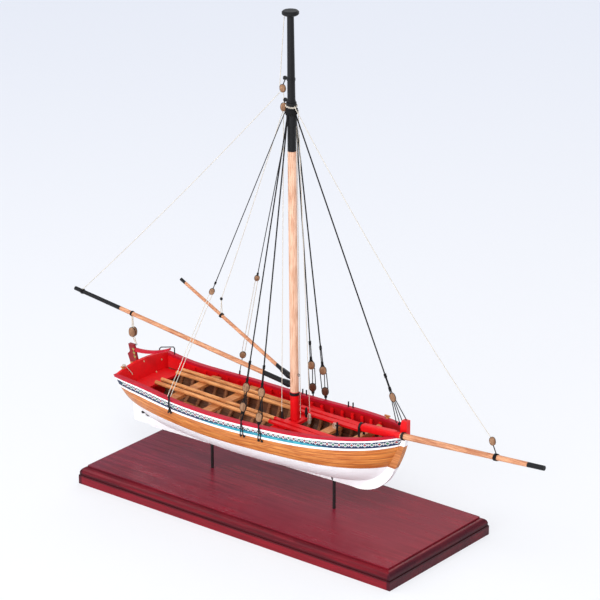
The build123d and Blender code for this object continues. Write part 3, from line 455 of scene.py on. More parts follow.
PALE_LIME = Wood("oiled_lime", shade(216, 144, 86), shade(164, 92, 48), fineness=1.2)
SPAR_WOOD = Wood("spar_wood", shade(226, 166, 126), shade(168, 104, 72), fineness=1.5)
MAST_WOOD = Wood("mast_wood", shade(240, 198, 170), shade(198, 144, 114), Axis.UP, 1.5)
OAR_WOOD = Wood("oar_wood", shade(230, 164, 104), shade(178, 104, 56), fineness=1.6)
FRAME_WOOD = Wood("frame_wood", shade(200, 140, 96), shade(144, 90, 58), Axis.ACROSS, 1.4, 0.5)
# A darker copy of the planking wood for faces inside the hull: painted shade.
SHADED_WOOD = Wood("shaded_planks", shade(140, 94, 64), shade(92, 58, 40), Axis.ALONG, 1.2, 0.6)
BLOCK_WOOD = Wood("block_wood", shade(172, 132, 100), shade(112, 76, 54), Axis.UP, 2.4, 0.5)
# A darker copy of the block wood for blocks that lie in shade: painted shade.
SHADED_BLOCK_WOOD = Wood("dark_block_wood", shade(112, 70, 50), shade(66, 40, 30), Axis.UP, 2.4, 0.5)
RED = Paint("red_paint", shade(226, 12, 20), shade(150, 60, 40), 0.10, 0.42)
RAIL_RED = Paint("rail_red_paint", shade(190, 16, 44), shade(140, 50, 44), 0.12, 0.42)
DARK_RED = Paint("dark_red_paint", shade(140, 26, 34), shade(90, 60, 40), 0.2, 0.42)
WHITE = Paint("white_paint", shade(253, 253, 255), shade(236, 226, 214), 0.03, 0.45, 0.05)
BLACK = Paint("black_paint", shade(19, 19, 22), shade(70, 58, 50), 0.10, 0.45)
IRON = Paint("blackened_iron", shade(26, 24, 26), shade(84, 64, 52), 0.3, 0.5)
STEEL = Paint("blackened_steel", shade(40, 34, 36), shade(84, 72, 70), 0.3, 0.4)
BRASS = Paint("dull_brass", shade(214, 190, 150), shade(150, 120, 80), 0.3, 0.35)
BLACK_CORD = Cord("black_cord", shade(24, 22, 24), 1.3)
PALE_CORD = Cord("pale_cord", shade(238, 228, 212), 0.7)
FAR = 500.0


class HullFinishes:
    """The finishes that follow the hull's own lines."""

    def mahogany(self) -> bpy.types.Material:
        """Returns the plinth's satin mahogany, its edge redder than its top, with painted light in front and painted
        shade.
        """
        wood = Wood("mahogany", shade(142, 36, 54), shade(84, 20, 38), Axis.ALONG, 0.4, 0.32, 0.06)
        material, n, shader = new_material(wood.name)
        grain = wood.laid(n)
        place = n.place()
        x, y, up = n.parts(place)
        edge = n.rest(n.step(up, 7.2, 8.0))
        patches = n.step(n.noise(place, 0.05, 4.0), 0.36, 0.64)
        # Painted light: the plinth turns redder towards the front right, where the lamps fall on it.
        painted_light_front = n.step(n.minus(x, y), -60.0, 80.0)
        colour = n.mix(n.times(patches, 0.55), grain.colour, shade(104, 34, 54))
        colour = n.mix(n.times(painted_light_front, 0.45), colour, shade(142, 14, 28))
        colour = n.mix(n.times(edge, 0.5), colour, shade(140, 14, 24))
        streaks = n.step(n.noise(n.stretch(place, (0.05, 0.05, 1.0)), 0.9, 5.0), 0.34, 0.66)
        cove = n.times(n.band(up, 4.4, 7.7, 0.3), n.plus(n.times(streaks, 0.5), 0.35))
        colour = n.mix(cove, colour, shade(72, 12, 24))
        colour = n.mix(n.times(n.times(edge, streaks), 0.4), colour, shade(84, 18, 28))
        # Painted shade: the end faces turn deep purple where the lamps light them less, over their darker end grain.
        end_shade_and_grain = n.times(n.step(n.math("ABSOLUTE", x), 79.4, 80.2), n.plus(0.55, n.times(patches, 0.3)))
        colour = n.mix(end_shade_and_grain, colour, shade(46, 10, 26))
        # Painted shade: a dark line along the groove between the moulding's steps.
        quirk_shade = n.times(n.band(up, 3.3, 4.7, 0.4), 0.8)
        colour = n.mix(quirk_shade, colour, shade(44, 6, 14))
        surface(n, shader, grain._replace(colour=colour), wood.roughness, 0.05)
        n.fill(shader, {"Specular IOR Level": 0.14, "Coat Weight": wood.coat, "Coat Roughness": 0.2})
        return material

    def side_planking(self) -> bpy.types.Material:
        """Returns oiled planks whose seams follow the sheer above and the paint line below."""
        material, n, shader = new_material("side_planking")
        x, y, z = n.parts(n.place())
        top = n.minus(n.height_on_arcs(x, SHEER_POINTS), FRIEZE_DEPTH + MOULDING_WIDTH)
        low = n.height_on_arcs(x, WATERLINE_POINTS)
        share = n.math("DIVIDE", n.minus(z, low), n.minus(top, low))
        strake = n.times(share, 4.0)
        across = n.math("FRACT", n.plus(strake, 8.0))
        seam = n.rest(n.times(n.step(across, 0.0, 0.07), n.rest(n.step(across, 0.93, 1.0))))
        number = n.math("FLOOR", n.plus(strake, 8.0))
        shift = n.joined(n.plus(x, n.times(number, 37.0)), n.times(strake, 2.4))
        grain = Layer.of(n.group(GROUPS.grain, Vector=shift, Pale=shade(236, 160, 86), Dark=shade(174, 86, 34),
                                 Fineness=1.1))
        tone = n.noise(n.stretch(shift, (0.02, 0.0, 0.0)), 1.0)
        colour = n.mix(n.times(n.step(tone, 0.35, 0.65), 0.3), grain.colour, shade(206, 112, 48))
        bow = n.step(x, 30.0, 62.0)
        low_edge = n.times(n.rest(n.step(share, 0.0, 0.4)), n.times(bow, 0.6))
        colour = n.mix(low_edge, colour, shade(150, 74, 34))
        colour = n.mix(n.times(seam, n.plus(n.times(bow, 0.2), 0.66)), colour, shade(104, 46, 20))
        # Inner faces take the darker shaded wood: painted shade inside the hull.
        inner = n.rest(n.outside(y))
        colour = n.mix(inner, colour, SHADED_WOOD.laid(n).colour)
        surface(n, shader, Layer(colour, grain.gloss, n.minus(grain.height, n.times(seam, 2.0))), 0.38, 0.06)
        n.fill(shader, {"Coat Weight": 0.15, "Coat Roughness": 0.25})
        return material

    def bottom_planking(self) -> bpy.types.Material:
        """Returns white paint on the outside and bare wood darkened with painted shade on the inside."""
        material, n, shader = new_material("bottom_planking")
        _, y, _ = n.parts(n.place())
        layer = SHADED_WOOD.laid(n).under(n, n.outside(y), WHITE.laid(n))
        surface(n, shader, layer, 0.42, 0.04)
        return material

    def sheer_strake(self) -> bpy.types.Material:
        """Returns the painted band: white edge, frieze and pale blue strip outside, and red inside."""
        material, n, shader = new_material("sheer_strake")
        place = n.place()
        x, y, z = n.parts(place)
        below = n.minus(n.height_on_arcs(x, SHEER_POINTS), z)
        taper = n.plus(n.rest(n.step(x, -34.0, -6.0)), n.step(x, 22.0, 42.0))
        strip_top = n.plus(n.times(taper, 1.1), 2.35)
        middle = n.times(n.plus(strip_top, 0.5), 0.5)
        across = n.minus(below, middle)
        frieze = n.group(GROUPS.frieze, Along=x, Across=across)
        paint = WHITE.laid(n)
        wash = n.mix(n.step(n.noise(place, 0.5, 3.0), 0.3, 0.7), shade(70, 170, 184), shade(40, 132, 158))
        strip = n.step(n.minus(below, strip_top), -0.06, 0.06)
        colour = n.mix(strip, frieze.outputs["Color"], wash)
        plain = n.rest(n.step(x, -71.6, -71.3))
        colour = n.mix(plain, colour, shade(44, 56, 84))
        colour = n.mix(n.rest(n.step(below, 0.44, 0.56)), colour, paint.colour)
        colour = n.mix(n.outside(y), RED.laid(n).colour, colour)
        surface(n, shader, Layer(colour, paint.gloss, n.plus(paint.height, frieze.outputs["Relief"])), 0.38, 0.03)
        return material

    def lining(self) -> bpy.types.Material:
        """Returns the bulwark's red lining, darker low between the timberheads towards the bow: painted shade."""
        material, n, shader = new_material("bulwark_lining")
        x, _, _ = n.parts(n.place())
        paint = RED.laid(n)
        # Painted shade: the lining turns dark crimson towards the bow, where it shows between the timberheads.
        colour = n.mix(n.times(n.step(x, -20.0, 8.0), 0.5), paint.colour, shade(96, 8, 16))
        surface(n, shader, paint._replace(colour=colour), 0.45, 0.04)
        return material

    def transom(self) -> bpy.types.Material:
        """Returns the stern board: red inside, and outside blue over bare wood over white."""
        material, n, shader = new_material("transom")
        place = n.place()
        x, y, z = n.parts(place)
        facing = n.add("ShaderNodeTexCoord")
        ahead, _, _ = n.parts(facing.outputs["Normal"])
        aft = n.rest(n.step(ahead, 0.3, 0.6))
        wood, paint = PALE_LIME.laid(n), WHITE.laid(n)
        below = n.minus(n.height_on_arcs(x, SHEER_POINTS), z)
        frieze = n.group(GROUPS.frieze, Along=y, Across=n.minus(below, 1.95))
        board = n.step(n.math("ABSOLUTE", ahead), 0.3, 0.5)
        band = n.mix(board, shade(44, 56, 84), frieze.outputs["Color"])
        colour = n.mix(n.step(z, 33.3, 33.6), paint.colour, wood.colour)
        for level, finish in ((4.2, paint.colour), (3.4, band), (0.5, paint.colour),
                              (-0.1, RED.laid(n).colour)):
            colour = n.mix(n.step(below, level + 0.06, level - 0.06), colour, finish)
        colour = n.mix(aft, RED.laid(n).colour, colour)
        surface(n, shader, paint._replace(colour=colour), 0.4, 0.04)
        return material

    def upright(self, name: str, steps: tuple, motif: bool = False) -> bpy.types.Material:
        """Returns bands of finishes one above another.

        Args:
            name: the material's name.
            steps: pairs of the height where a band starts, in millimetres, and its finish, lowest first.
            motif: whether the painted sprig of the rudder head goes over them.

        Returns:
            The material.
        """
        material, n, shader = new_material(name)
        x, _, z = n.parts(n.place())
        layer, *others = [finish.laid(n) for _, finish in steps]
        for (low, _), upper in zip(steps[1:], others):
            layer = layer.under(n, n.step(z, low - PAINT_EDGE, low + PAINT_EDGE), upper)
        colour = self.sprig(n, x, z, layer.colour) if motif else layer.colour
        surface(n, shader, layer._replace(colour=colour), 0.4, 0.04)
        return material

    @staticmethod
    def sprig(n: Nodes, x, z, colour) -> bpy.types.NodeSocket:
        """Returns the colour with a golden-green leaf chain up the rudder head."""
        rise = n.math("FRACT", n.times(n.minus(z, 47.0), 0.62))
        lean = n.plus(x, n.times(n.minus(z, 47.0), 0.25))
        aside = n.math("ABSOLUTE", n.minus(lean, -77.5))
        leaf = n.plus(n.times(aside, 0.75), n.math("ABSOLUTE", n.minus(rise, 0.5)))
        there = n.times(n.rest(n.step(leaf, 0.42, 0.54)), n.band(z, 46.6, 51.4, 0.2))
        return n.mix(there, colour, n.mix(n.step(rise, 0.3, 0.7), shade(176, 150, 74), shade(104, 122, 70)))

    def spar(self, name: str, wood: Wood, bands: tuple, axis: int) -> bpy.types.Material:
        """Returns a spar's wood with painted lengths.

        Args:
            name: the material's name.
            wood: its wood.
            bands: for each painted length, where it starts and ends in millimetres, and its paint.
            axis: 0 where the lengths lie along the boat, 2 where they lie up the mast.

        Returns:
            The material.
        """
        material, n, shader = new_material(name)
        place = n.parts(n.place())[axis]
        layer = wood.laid(n)
        for low, high, paint in bands:
            layer = layer.under(n, n.band(place, low, high, 1.5 * PAINT_EDGE), paint.laid(n))
        surface(n, shader, layer, 0.42, 0.04)
        return material


@dataclass
class Dressing:
    """Gives every node of the model that stays its finish."""

    hull: HullFinishes = field(default_factory=HullFinishes)

    def finishes(self) -> dict[str, bpy.types.Material]:
        """Returns the material of each node by its name."""
        hull = self.hull
        red, white, iron, black = RED.material(), WHITE.material(), IRON.material(), BLACK.material()
        rail = RAIL_RED.material()
        frames, lime, block = FRAME_WOOD.material(), PALE_LIME.material(), BLOCK_WOOD.material()
        stem_bands = ((0.0, WHITE), (34.6, PALE_LIME), (45.4, WHITE), (49.6, RED))
        found = {
            "plinth": hull.mahogany(), "support_pins": STEEL.material(), "side_planking": hull.side_planking(),
            "bottom_planking": hull.bottom_planking(), "sheer_strake": hull.sheer_strake(),
            "transom": hull.transom(), "stem": hull.upright("stem_bands", stem_bands),
            "sternpost": hull.upright("sternpost_bands", ((0.0, WHITE), (33.4, PALE_LIME))),
            "rudder": hull.upright("rudder_bands", ((0.0, WHITE), (33.4, PALE_LIME), (45.0, DARK_RED)), True),
            "mast": hull.spar("mast_bands", MAST_WOOD, ((156.0, FAR, BLACK),), 2),
            "boom": hull.spar("boom_bands", SPAR_WOOD, ((-FAR, -85.7, BLACK), (-8.0, FAR, BLACK)), 0),
            "gaff": hull.spar("gaff_bands", SPAR_WOOD, ((-FAR, -49.6, BLACK), (-1.6, FAR, BLACK)), 0),
            "bowsprit": hull.spar("bowsprit_bands", SPAR_WOOD, ((-FAR, 63.6, RED), (124.0, FAR, BLACK)), 0),
            "oars": hull.spar("oar_bands", OAR_WOOD, ((2.0, FAR, RED),), 0),
            "bulwark_lining": hull.lining(), "cap_rail": rail, "tiller": rail,
            "keel": white, "mouldings": white, "keelson": frames, "frames": frames,
        }
        found |= dict.fromkeys(("timberheads", "risers", "mast_thwart", "mast_heel", "stern_platform"), red)
        found |= dict.fromkeys(("thwarts", "floorboards", "bow_beam", "cleats"), lime)
        found |= dict.fromkeys(("mast_truck", "mast_band", "mast_hounds", "boom_jaws", "gaff_jaws"), black)
        found |= dict.fromkeys(("bowsprit_irons", "gudgeons", "pintles", "chainplates", "thole_pins"), iron)
        found |= dict.fromkeys(("shroud_blocks", "stay_block"), block)
        found |= dict.fromkeys(("shrouds", "shroud_falls", "forestay"), BLACK_CORD.material())
        return found

    def dress(self) -> dict[str, bpy.types.Material]:
        """Puts each finish in all the material slots of its node, and returns the finishes by their own names."""
        finishes = self.finishes()
        for name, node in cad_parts.items():
            material = finishes[name]
            for slot in node.material_slots:
                slot.material = material
            if not node.material_slots:
                node.data.materials.append(material)
            log.info("%s has the finish %s", name, material.name)
        return {material.name.removesuffix("_finish"): material for material in finishes.values()}


def along(start: Place, end: Place, share: float) -> Vector:
    """Returns the place that far along a straight line."""
    return Vector(start).lerp(Vector(end), share)


def sagging(start: Place, end: Place, sag: float, count: int = 14) -> list[Vector]:
    """Returns points of a line that hangs a little between its ends.

    Args:
        start: its first end, in millimetres.
        end: its other end.
        sag: how far its middle hangs below the straight line.
        count: the number of runs.

    Returns:
        The points.
    """
    points = [along(start, end, step / count) for step in range(count + 1)]
    for step, point in enumerate(points):
        share = step / count
        point.z -= 4 * sag * share * (1 - share)
    return points


def adopt(piece: bpy.types.Object, body: str = "boat", stands_for: tuple = ()) -> None:
    """Gives a finished piece its body and hides the nodes that it stands for."""
    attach(piece, body)
    if stands_for:
        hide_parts(*stands_for)
    log.info("%s rides on %s with %d faces", piece.name, body, len(piece.data.polygons))


def outwards(mesh: bpy.types.Mesh) -> None:
    """Turns the faces of closed shells outwards."""
    work = bmesh.new()
    work.from_mesh(mesh)
    bmesh.ops.recalc_face_normals(work, faces=work.faces)
    work.to_mesh(mesh)
    work.free()


class NodeModifier:
    """A geometry tree with named inputs, used as a modifier and turned into a plain mesh."""

    def __init__(self, name: str, inputs: tuple) -> None:
        """Makes the tree's sockets.

        Args:
            name: the tree's name.
            inputs: for each input its name, socket kind and plain value.
        """
        self.tree = bpy.data.node_groups.new(name, "GeometryNodeTree")
        face = self.tree.interface
        face.new_socket(name="Geometry", in_out="INPUT", socket_type="NodeSocketGeometry")
        self.keys = {}
        for socket, kind, value in inputs:
            made = face.new_socket(name=socket, in_out="INPUT", socket_type=f"NodeSocket{kind}")
            made.default_value = value
            self.keys[socket] = made.identifier
        made = face.new_socket(name="Material", in_out="INPUT", socket_type="NodeSocketMaterial")
        self.keys["Material"] = made.identifier
        face.new_socket(name="Geometry", in_out="OUTPUT", socket_type="NodeSocketGeometry")
        self.nodes = Nodes(self.tree)
        self.given = self.nodes.add("NodeGroupInput").outputs

    def close(self, geometry: bpy.types.NodeSocket) -> None:
        """Ends the tree in Realize Instances, Set Material and its output."""
        n = self.nodes
        real = n.run("GeometryNodeRealizeInstances", {0: geometry})
        painted = n.run("GeometryNodeSetMaterial", {"Geometry": real, "Material": self.given["Material"]})
        smooth = n.run("GeometryNodeSetShadeSmooth", {0: painted})
        n.fill(n.add("NodeGroupOutput"), {0: smooth})

    def keep(self, geometry, name: str, value, kind: str = "FLOAT_VECTOR") -> bpy.types.NodeSocket:
        """Returns the geometry with a value kept on its points under a name."""
        return self.nodes.run("GeometryNodeStoreNamedAttribute", {"Name": name, "Geometry": geometry, "Value": value},
                              data_type=kind, domain="POINT")

    def kept(self, name: str, kind: str = "FLOAT_VECTOR") -> bpy.types.NodeSocket:
        """Returns what was kept under a name."""
        return self.nodes.run("GeometryNodeInputNamedAttribute", {"Name": name}, data_type=kind)

    def make(self, name: str, base: bpy.types.Mesh, material: bpy.types.Material, **sizes) -> bpy.types.Object:
        """Runs the tree on a base mesh and returns the plain result.

        Args:
            name: the new object's name.
            base: the mesh that the tree starts from.
            material: what Set Material gives it.
            **sizes: the tree's inputs by name, with _ for a space.

        Returns:
            The finished object at the origin.
        """
        piece = bpy.data.objects.new(name, base)
        bpy.context.scene.collection.objects.link(piece)
        modifier = piece.modifiers.new(name, "NODES")
        modifier.node_group = self.tree
        modifier[self.keys["Material"]] = material
        for key, value in sizes.items():
            modifier[self.keys[key.replace("_", " ")]] = value
        graph = bpy.context.evaluated_depsgraph_get()
        mesh = bpy.data.meshes.new_from_object(piece.evaluated_get(graph), preserve_all_data_layers=True,
                                               depsgraph=graph)
        piece.modifiers.remove(modifier)
        piece.data = mesh
        outwards(mesh)
        return piece


class CordTree(NodeModifier):
    """Round cord along every path of edges, with the place round and along it kept for its lay."""

    def __init__(self) -> None:
        """Builds the tree."""
        super().__init__("cord_along_paths", (("Diameter", "Float", 0.0005), ("Sides", "Int", 8)))
        n, given = self.nodes, self.given
        path = n.run("GeometryNodeMeshToCurve", {0: given["Geometry"]})
        length = n.add("GeometryNodeSplineParameter").outputs["Length"]
        measured = self.keep(path, "run", n.times(length, 1000.0), "FLOAT")
        ring = n.run("GeometryNodeCurvePrimitiveCircle", {"Resolution": given["Sides"], "Radius": 1.0})
        rounded = self.keep(ring, "round", n.run("GeometryNodeInputPosition", {}))
        radius = n.times(given["Diameter"], 0.5)
        sized = n.run("GeometryNodeTransform", {"Geometry": rounded, "Scale": n.joined(radius, radius, radius)})
        tube = n.run("GeometryNodeCurveToMesh", {"Curve": measured, "Profile Curve": sized, "Fill Caps": True})
        x, y, _ = n.parts(self.kept("round"))
        self.close(self.keep(tube, "strand", n.joined(x, y, self.kept("run", "FLOAT"))))

    @staticmethod
    def paths(name: str, lines: list) -> bpy.types.Mesh:
        """Returns a mesh of edges from lists of points in millimetres."""
        points, edges = [], []
        for line in lines:
            first = len(points)
            points += [Vector(point) * MM for point in line]
            edges += [(first + step, first + step + 1) for step in range(len(line) - 1)]
        mesh = bpy.data.meshes.new(name)
        mesh.from_pydata(points, edges, [])
        return mesh


class WindingTree(NodeModifier):
    """Turns of thin line wound at each point, round the direction that the point carries."""

    def __init__(self) -> None:
        """Builds the tree."""
        super().__init__("windings_on_points", (
            ("Turns", "Float", 5.0), ("Radius", "Float", 0.0004), ("Height", "Float", 0.001),
            ("Thread", "Float", 0.0002)))
        n, given = self.nodes, self.given
        coil = n.run("GeometryNodeCurveSpiral", {
            "Resolution": 10, "Rotations": given["Turns"], "Start Radius": given["Radius"],
            "End Radius": given["Radius"], "Height": given["Height"]})
        thread = n.run("GeometryNodeCurvePrimitiveCircle", {"Resolution": 5, "Radius": n.times(given["Thread"], 0.5)})
        wound = n.run("GeometryNodeCurveToMesh", {"Curve": coil, "Profile Curve": thread, "Fill Caps": True})
        drop = n.joined(0.0, 0.0, n.times(given["Height"], -0.5))
        centred = n.run("GeometryNodeTransform", {"Geometry": wound, "Translation": drop})
        turned = n.run("FunctionNodeAlignRotationToVector", {"Vector": self.kept("way")}, axis="Z")
        self.close(n.run("GeometryNodeInstanceOnPoints", {
            "Points": given["Geometry"], "Instance": centred, "Rotation": turned}))

    def wind(self, name: str, places: list, material: bpy.types.Material, **sizes) -> bpy.types.Object:
        """Returns the windings of one size as one piece.

        Args:
            name: the piece's name.
            places: pairs of a middle point and a direction.
            material: its finish.
            **sizes: the tree's inputs, in millimetres, and its turns.

        Returns:
            The piece.
        """
        mesh = bpy.data.meshes.new(name)
        mesh.from_pydata([Vector(middle) * MM for middle, _ in places], [], [])
        ways = mesh.attributes.new("way", "FLOAT_VECTOR", "POINT")
        for number, (_, way) in enumerate(places):
            ways.data[number].vector = Vector(way).normalized()
        scaled = {key: value if key == "Turns" else value * MM for key, value in sizes.items()}
        return self.make(name, mesh, material, **scaled)


def squared(angle: float, power: float) -> tuple[float, float]:
    """Returns a point of a unit round that turns squarer as its power grows."""
    c, s = math.cos(angle), math.sin(angle)
    reach = (abs(c) ** power + abs(s) ** power) ** (-1 / power)
    return c * reach, s * reach


def skin(work: bmesh.types.BMesh, rings: list) -> None:
    """Closes a skin over rings of points."""
    for low, high in zip(rings, rings[1:]):
        for step, corner in enumerate(low):
            after = (step + 1) % len(low)
            work.faces.new((corner, low[after], high[after], high[step]))
    work.faces.new(rings[0])
    work.faces.new(rings[-1])


@dataclass(frozen=True)
class Block:
    """One wooden rigging block: where its middle is, the way that it hangs, and its size."""

    middle: Place
    way: Place
    length: float = 3.4
    width: float = 2.4
    thick: float = 1.6
    cheek: Point = (0.62, -0.78, 0.0)
    roundness: float = 2.4

    def frame(self) -> Matrix:
        """Returns the turn from the block's own axes, with its length up, to the boat's."""
        up = Vector(self.way).normalized()
        out = Vector(self.cheek)
        out = (out - up * out.dot(up)).normalized()
        side = out.cross(up)
        return Matrix((side, out, up)).transposed()

    def local(self, angle: float, thick: float, swell: float) -> Vector:
        """Returns the point at an angle round the block, at a share of its thickness, grown by swell."""
        across, up = squared(angle, self.roundness)
        place = Vector((self.width / 2 * across * swell, self.thick / 2 * thick, self.length / 2 * up * swell))
        return Vector(self.middle) + self.frame() @ place

    def add(self, work: bmesh.types.BMesh) -> None:
        """Adds the block's rounded shell with the groove of its strop to a mesh in the making."""
        slices, rounds, reach = 13, 24, 0.94
        rings = []
        for number in range(slices):
            v = -reach + 2 * reach * number / (slices - 1)
            swell = (1 - abs(v) ** 3.2) ** 0.45 * (1 - 0.16 * math.exp(-(v / 0.16) ** 2))
            rings.append([work.verts.new(self.local(2 * math.pi * step / rounds, v, swell) * MM)
                          for step in range(rounds)])
        skin(work, rings)

    def strop(self) -> list[Vector]:
        """Returns the path of the cord that lies in the block's groove."""
        rounds = 28
        return [self.local(math.pi / 2 + 2 * math.pi * step / rounds, 0.0, 0.93) for step in range(rounds + 1)]


def mast_axis(z: float) -> Vector:
    """Returns the middle of the mast at a height, in millimetres."""
    foot, head = 7.9, 5.6
    low, high = 22.0, 213.0
    return Vector((foot + (head - foot) * (z - low) / (high - low), 0.0, z))


@dataclass(frozen=True)
class Spar:
    """The middle line of a spar that lies along the boat, in millimetres."""

    first: Point
    second: Point

    def way(self) -> Vector:
        """Returns its direction, forward."""
        return Vector(self.second) - Vector(self.first)

    def at(self, x: float) -> Vector:
        """Returns its middle at a place along the boat."""
        return along(self.first, self.second, (x - self.first[0]) / (self.second[0] - self.first[0]))


BOWSPRIT = Spar((42.9, -3.0, 49.3), (131.6, -3.0, 55.9))
BOOM = Spar((-111.2, 0.0, 70.3), (2.0, 0.0, 56.9))
GAFF = Spar((-52.2, 0.0, 88.4), (1.6, 0.0, 61.6))


def sheer_height(x: float) -> float:
    """Returns the height of the planking's top edge at a place along the boat, in millimetres."""
    points = SHEER_POINTS[:3] if x < SHEER_POINTS[2][0] else SHEER_POINTS[2:]
    middle_x, middle_z, radius = arc_through(points)
    return middle_z - math.sqrt(radius ** 2 - (x - middle_x) ** 2)


class HullProbe:
    """Finds the hull's outer face under a fitting."""

    def __init__(self) -> None:
        """Gathers the hull's outer nodes into one search tree."""
        points, faces = [], []
        for name in ("side_planking", "bottom_planking", "sheer_strake", "mouldings"):
            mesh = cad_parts[name].data
            first = len(points)
            points += [vertex.co / MM for vertex in mesh.vertices]
            faces += [[first + corner for corner in face.vertices] for face in mesh.polygons]
        self.tree = BVHTree.FromPolygons(points, faces)

    def outer(self, x: float, z: float, side: int, clear: float = 0.0) -> Vector:
        """Returns the point of the hull's outer face at a place, moved out by clear.

        Args:
            x: place along the boat in millimetres.
            z: height in millimetres.
            side: -1 for starboard, 1 for port.
            clear: how far off the face the point stands.

        Returns:
            The point in millimetres.
        """
        hit = self.tree.ray_cast(Vector((x, side * 60.0, z)), Vector((0.0, -side, 0.0)))[0]
        return Vector((x, hit.y + side * clear, z))


@dataclass(frozen=True)
class Turned:
    """One turned or rounded-square form about an axis: distances along it and the half-widths there."""

    start: Place
    way: Place
    profile: tuple
    power: float = 2.0
    sides: int = 20

    def add(self, work: bmesh.types.BMesh) -> None:
        """Adds the closed form to a mesh in the making."""
        way = Vector(self.way).normalized()
        helper = Vector((0.0, 1.0, 0.0)) if abs(way.y) < 0.9 else Vector((1.0, 0.0, 0.0))
        side = way.cross(helper).normalized()
        up = side.cross(way)
        rings = []
        for distance, half in self.profile:
            middle = Vector(self.start) + way * distance
            turns = [squared(2 * math.pi * step / self.sides, self.power) for step in range(self.sides)]
            rings.append([work.verts.new((middle + (side * c + up * s) * half) * MM) for c, s in turns])
        skin(work, rings)


def smooth_piece(name: str, forms: list, material: bpy.types.Material, sharp: float = 0.0) -> bpy.types.Object:
    """Makes several closed forms one smooth piece.

    Args:
        name: the piece's name.
        forms: blocks or turned forms.
        material: its finish.
        sharp: the angle in degrees past which an edge stays sharp, or 0 for none.

    Returns:
        The piece.
    """
    work = bmesh.new()
    for form in forms:
        form.add(work)
    bmesh.ops.recalc_face_normals(work, faces=work.faces)
    mesh = bpy.data.meshes.new(name)
    work.to_mesh(mesh)
    work.free()
    mesh.polygons.foreach_set("use_smooth", [True] * len(mesh.polygons))
    if sharp:
        mesh.set_sharp_from_angle(angle=math.radians(sharp))
    mesh.materials.append(material)
    piece = bpy.data.objects.new(name, mesh)
    bpy.context.scene.collection.objects.link(piece)
    return piece


@dataclass
class Workshop:
    """The shared trees, the hull's outer face and the finishes that every fitting draws on."""

    cords: CordTree
    windings: WindingTree
    probe: HullProbe
    finishes: dict

    def ropes(self, name: str, lines: list, diameter: float, finish: str = "black_cord",
              stands_for: tuple = ()) -> None:
        """Lays cords or wires of one thickness as one piece and adopts it."""
        piece = self.cords.make(name, self.cords.paths(name, lines), self.finishes[finish], Diameter=diameter * MM)
        adopt(piece, stands_for=stands_for)

    def wind(self, name: str, places: list, finish: str = "black_cord", body: str = "boat", **sizes) -> None:
        """Winds turns of line at several places as one piece and adopts it."""
        adopt(self.windings.wind(name, places, self.finishes[finish], **sizes), body)

    def blocks(self, name: str, blocks: list[Block], stands_for: tuple = (), finish: str = "block_wood") -> None:
        """Makes several blocks as one piece and adopts it."""
        adopt(smooth_piece(name, blocks, self.finishes[finish]), stands_for=stands_for)

    def turned(self, name: str, forms: list[Turned], finish: str, stands_for: tuple = ()) -> None:
        """Makes several turned forms as one piece and adopts it."""
        adopt(smooth_piece(name, forms, self.finishes[finish], 35.0), stands_for=stands_for)


def hank(middle: Point, reach: float, drop: float, turns: int, lean: float = 0.0) -> list[Vector]:
    """Returns the path of a small hank of line whose loops differ in size.

    Args:
        middle: where the loops cross.
        reach: half the width of a loop.
        drop: half the height of a loop.
        turns: the number of loops.
        lean: how far the loops step forward in all.

    Returns:
        The path's points in millimetres.
    """
    points = []
    per_turn, unevenness, breadth = 12, 0.22, 0.35
    steps = turns * per_turn
    for step in range(steps + 1):
        angle = 2 * math.pi * step / per_turn
        grown = 1 + unevenness * math.sin(angle * 0.37 + 1.0)
        points.append(Vector(middle) + Vector((
            reach * grown * math.sin(angle) + lean * step / steps,
            breadth * reach * math.cos(angle * 0.5),
            drop * grown * (math.cos(angle) - 1.0))))
    return points


@dataclass(frozen=True)
class ShroudRow:
    """One shroud: its side, its place at the rail and the heights of its blocks, in millimetres."""

    side: int
    x: float
    half_breadth: float
    lower: float
    upper: float
    plate_clear: float = 1.05
    plate_rise: float = 1.8
    mast_half: float = 2.3

    def top(self) -> Vector:
        """Returns the top of its chainplate."""
        return Vector((self.x, self.side * (self.half_breadth + self.plate_clear),
                       sheer_height(self.x) + self.plate_rise))

    def head(self) -> Vector:
        """Returns where it reaches the mast."""
        return mast_axis(HOUNDS_HEIGHT) + Vector((0.0, self.side * self.mast_half, 0.0))

    def at(self, z: float) -> Vector:
        """Returns the point of its line at a height."""
        top, head = self.top(), self.head()
        return top.lerp(head, (z - top.z) / (head.z - top.z))

    def way(self) -> Vector:
        """Returns its direction, upwards."""
        return (self.head() - self.top()).normalized()

    def aside(self) -> Vector:
        """Returns the direction square to its line in which its falls spread."""
        way = self.way()
        across = Vector((1.0, 0.0, 0.0)) if self.side < 0 else Vector((0.78, 0.62, 0.0))
        return (across - way * way.dot(across)).normalized()

    def cheek(self) -> Point:
        """Returns the way that the flat of its blocks faces."""
        return (0.35, -1.0, 0.0) if self.side < 0 else (0.62, -0.78, 0.0)


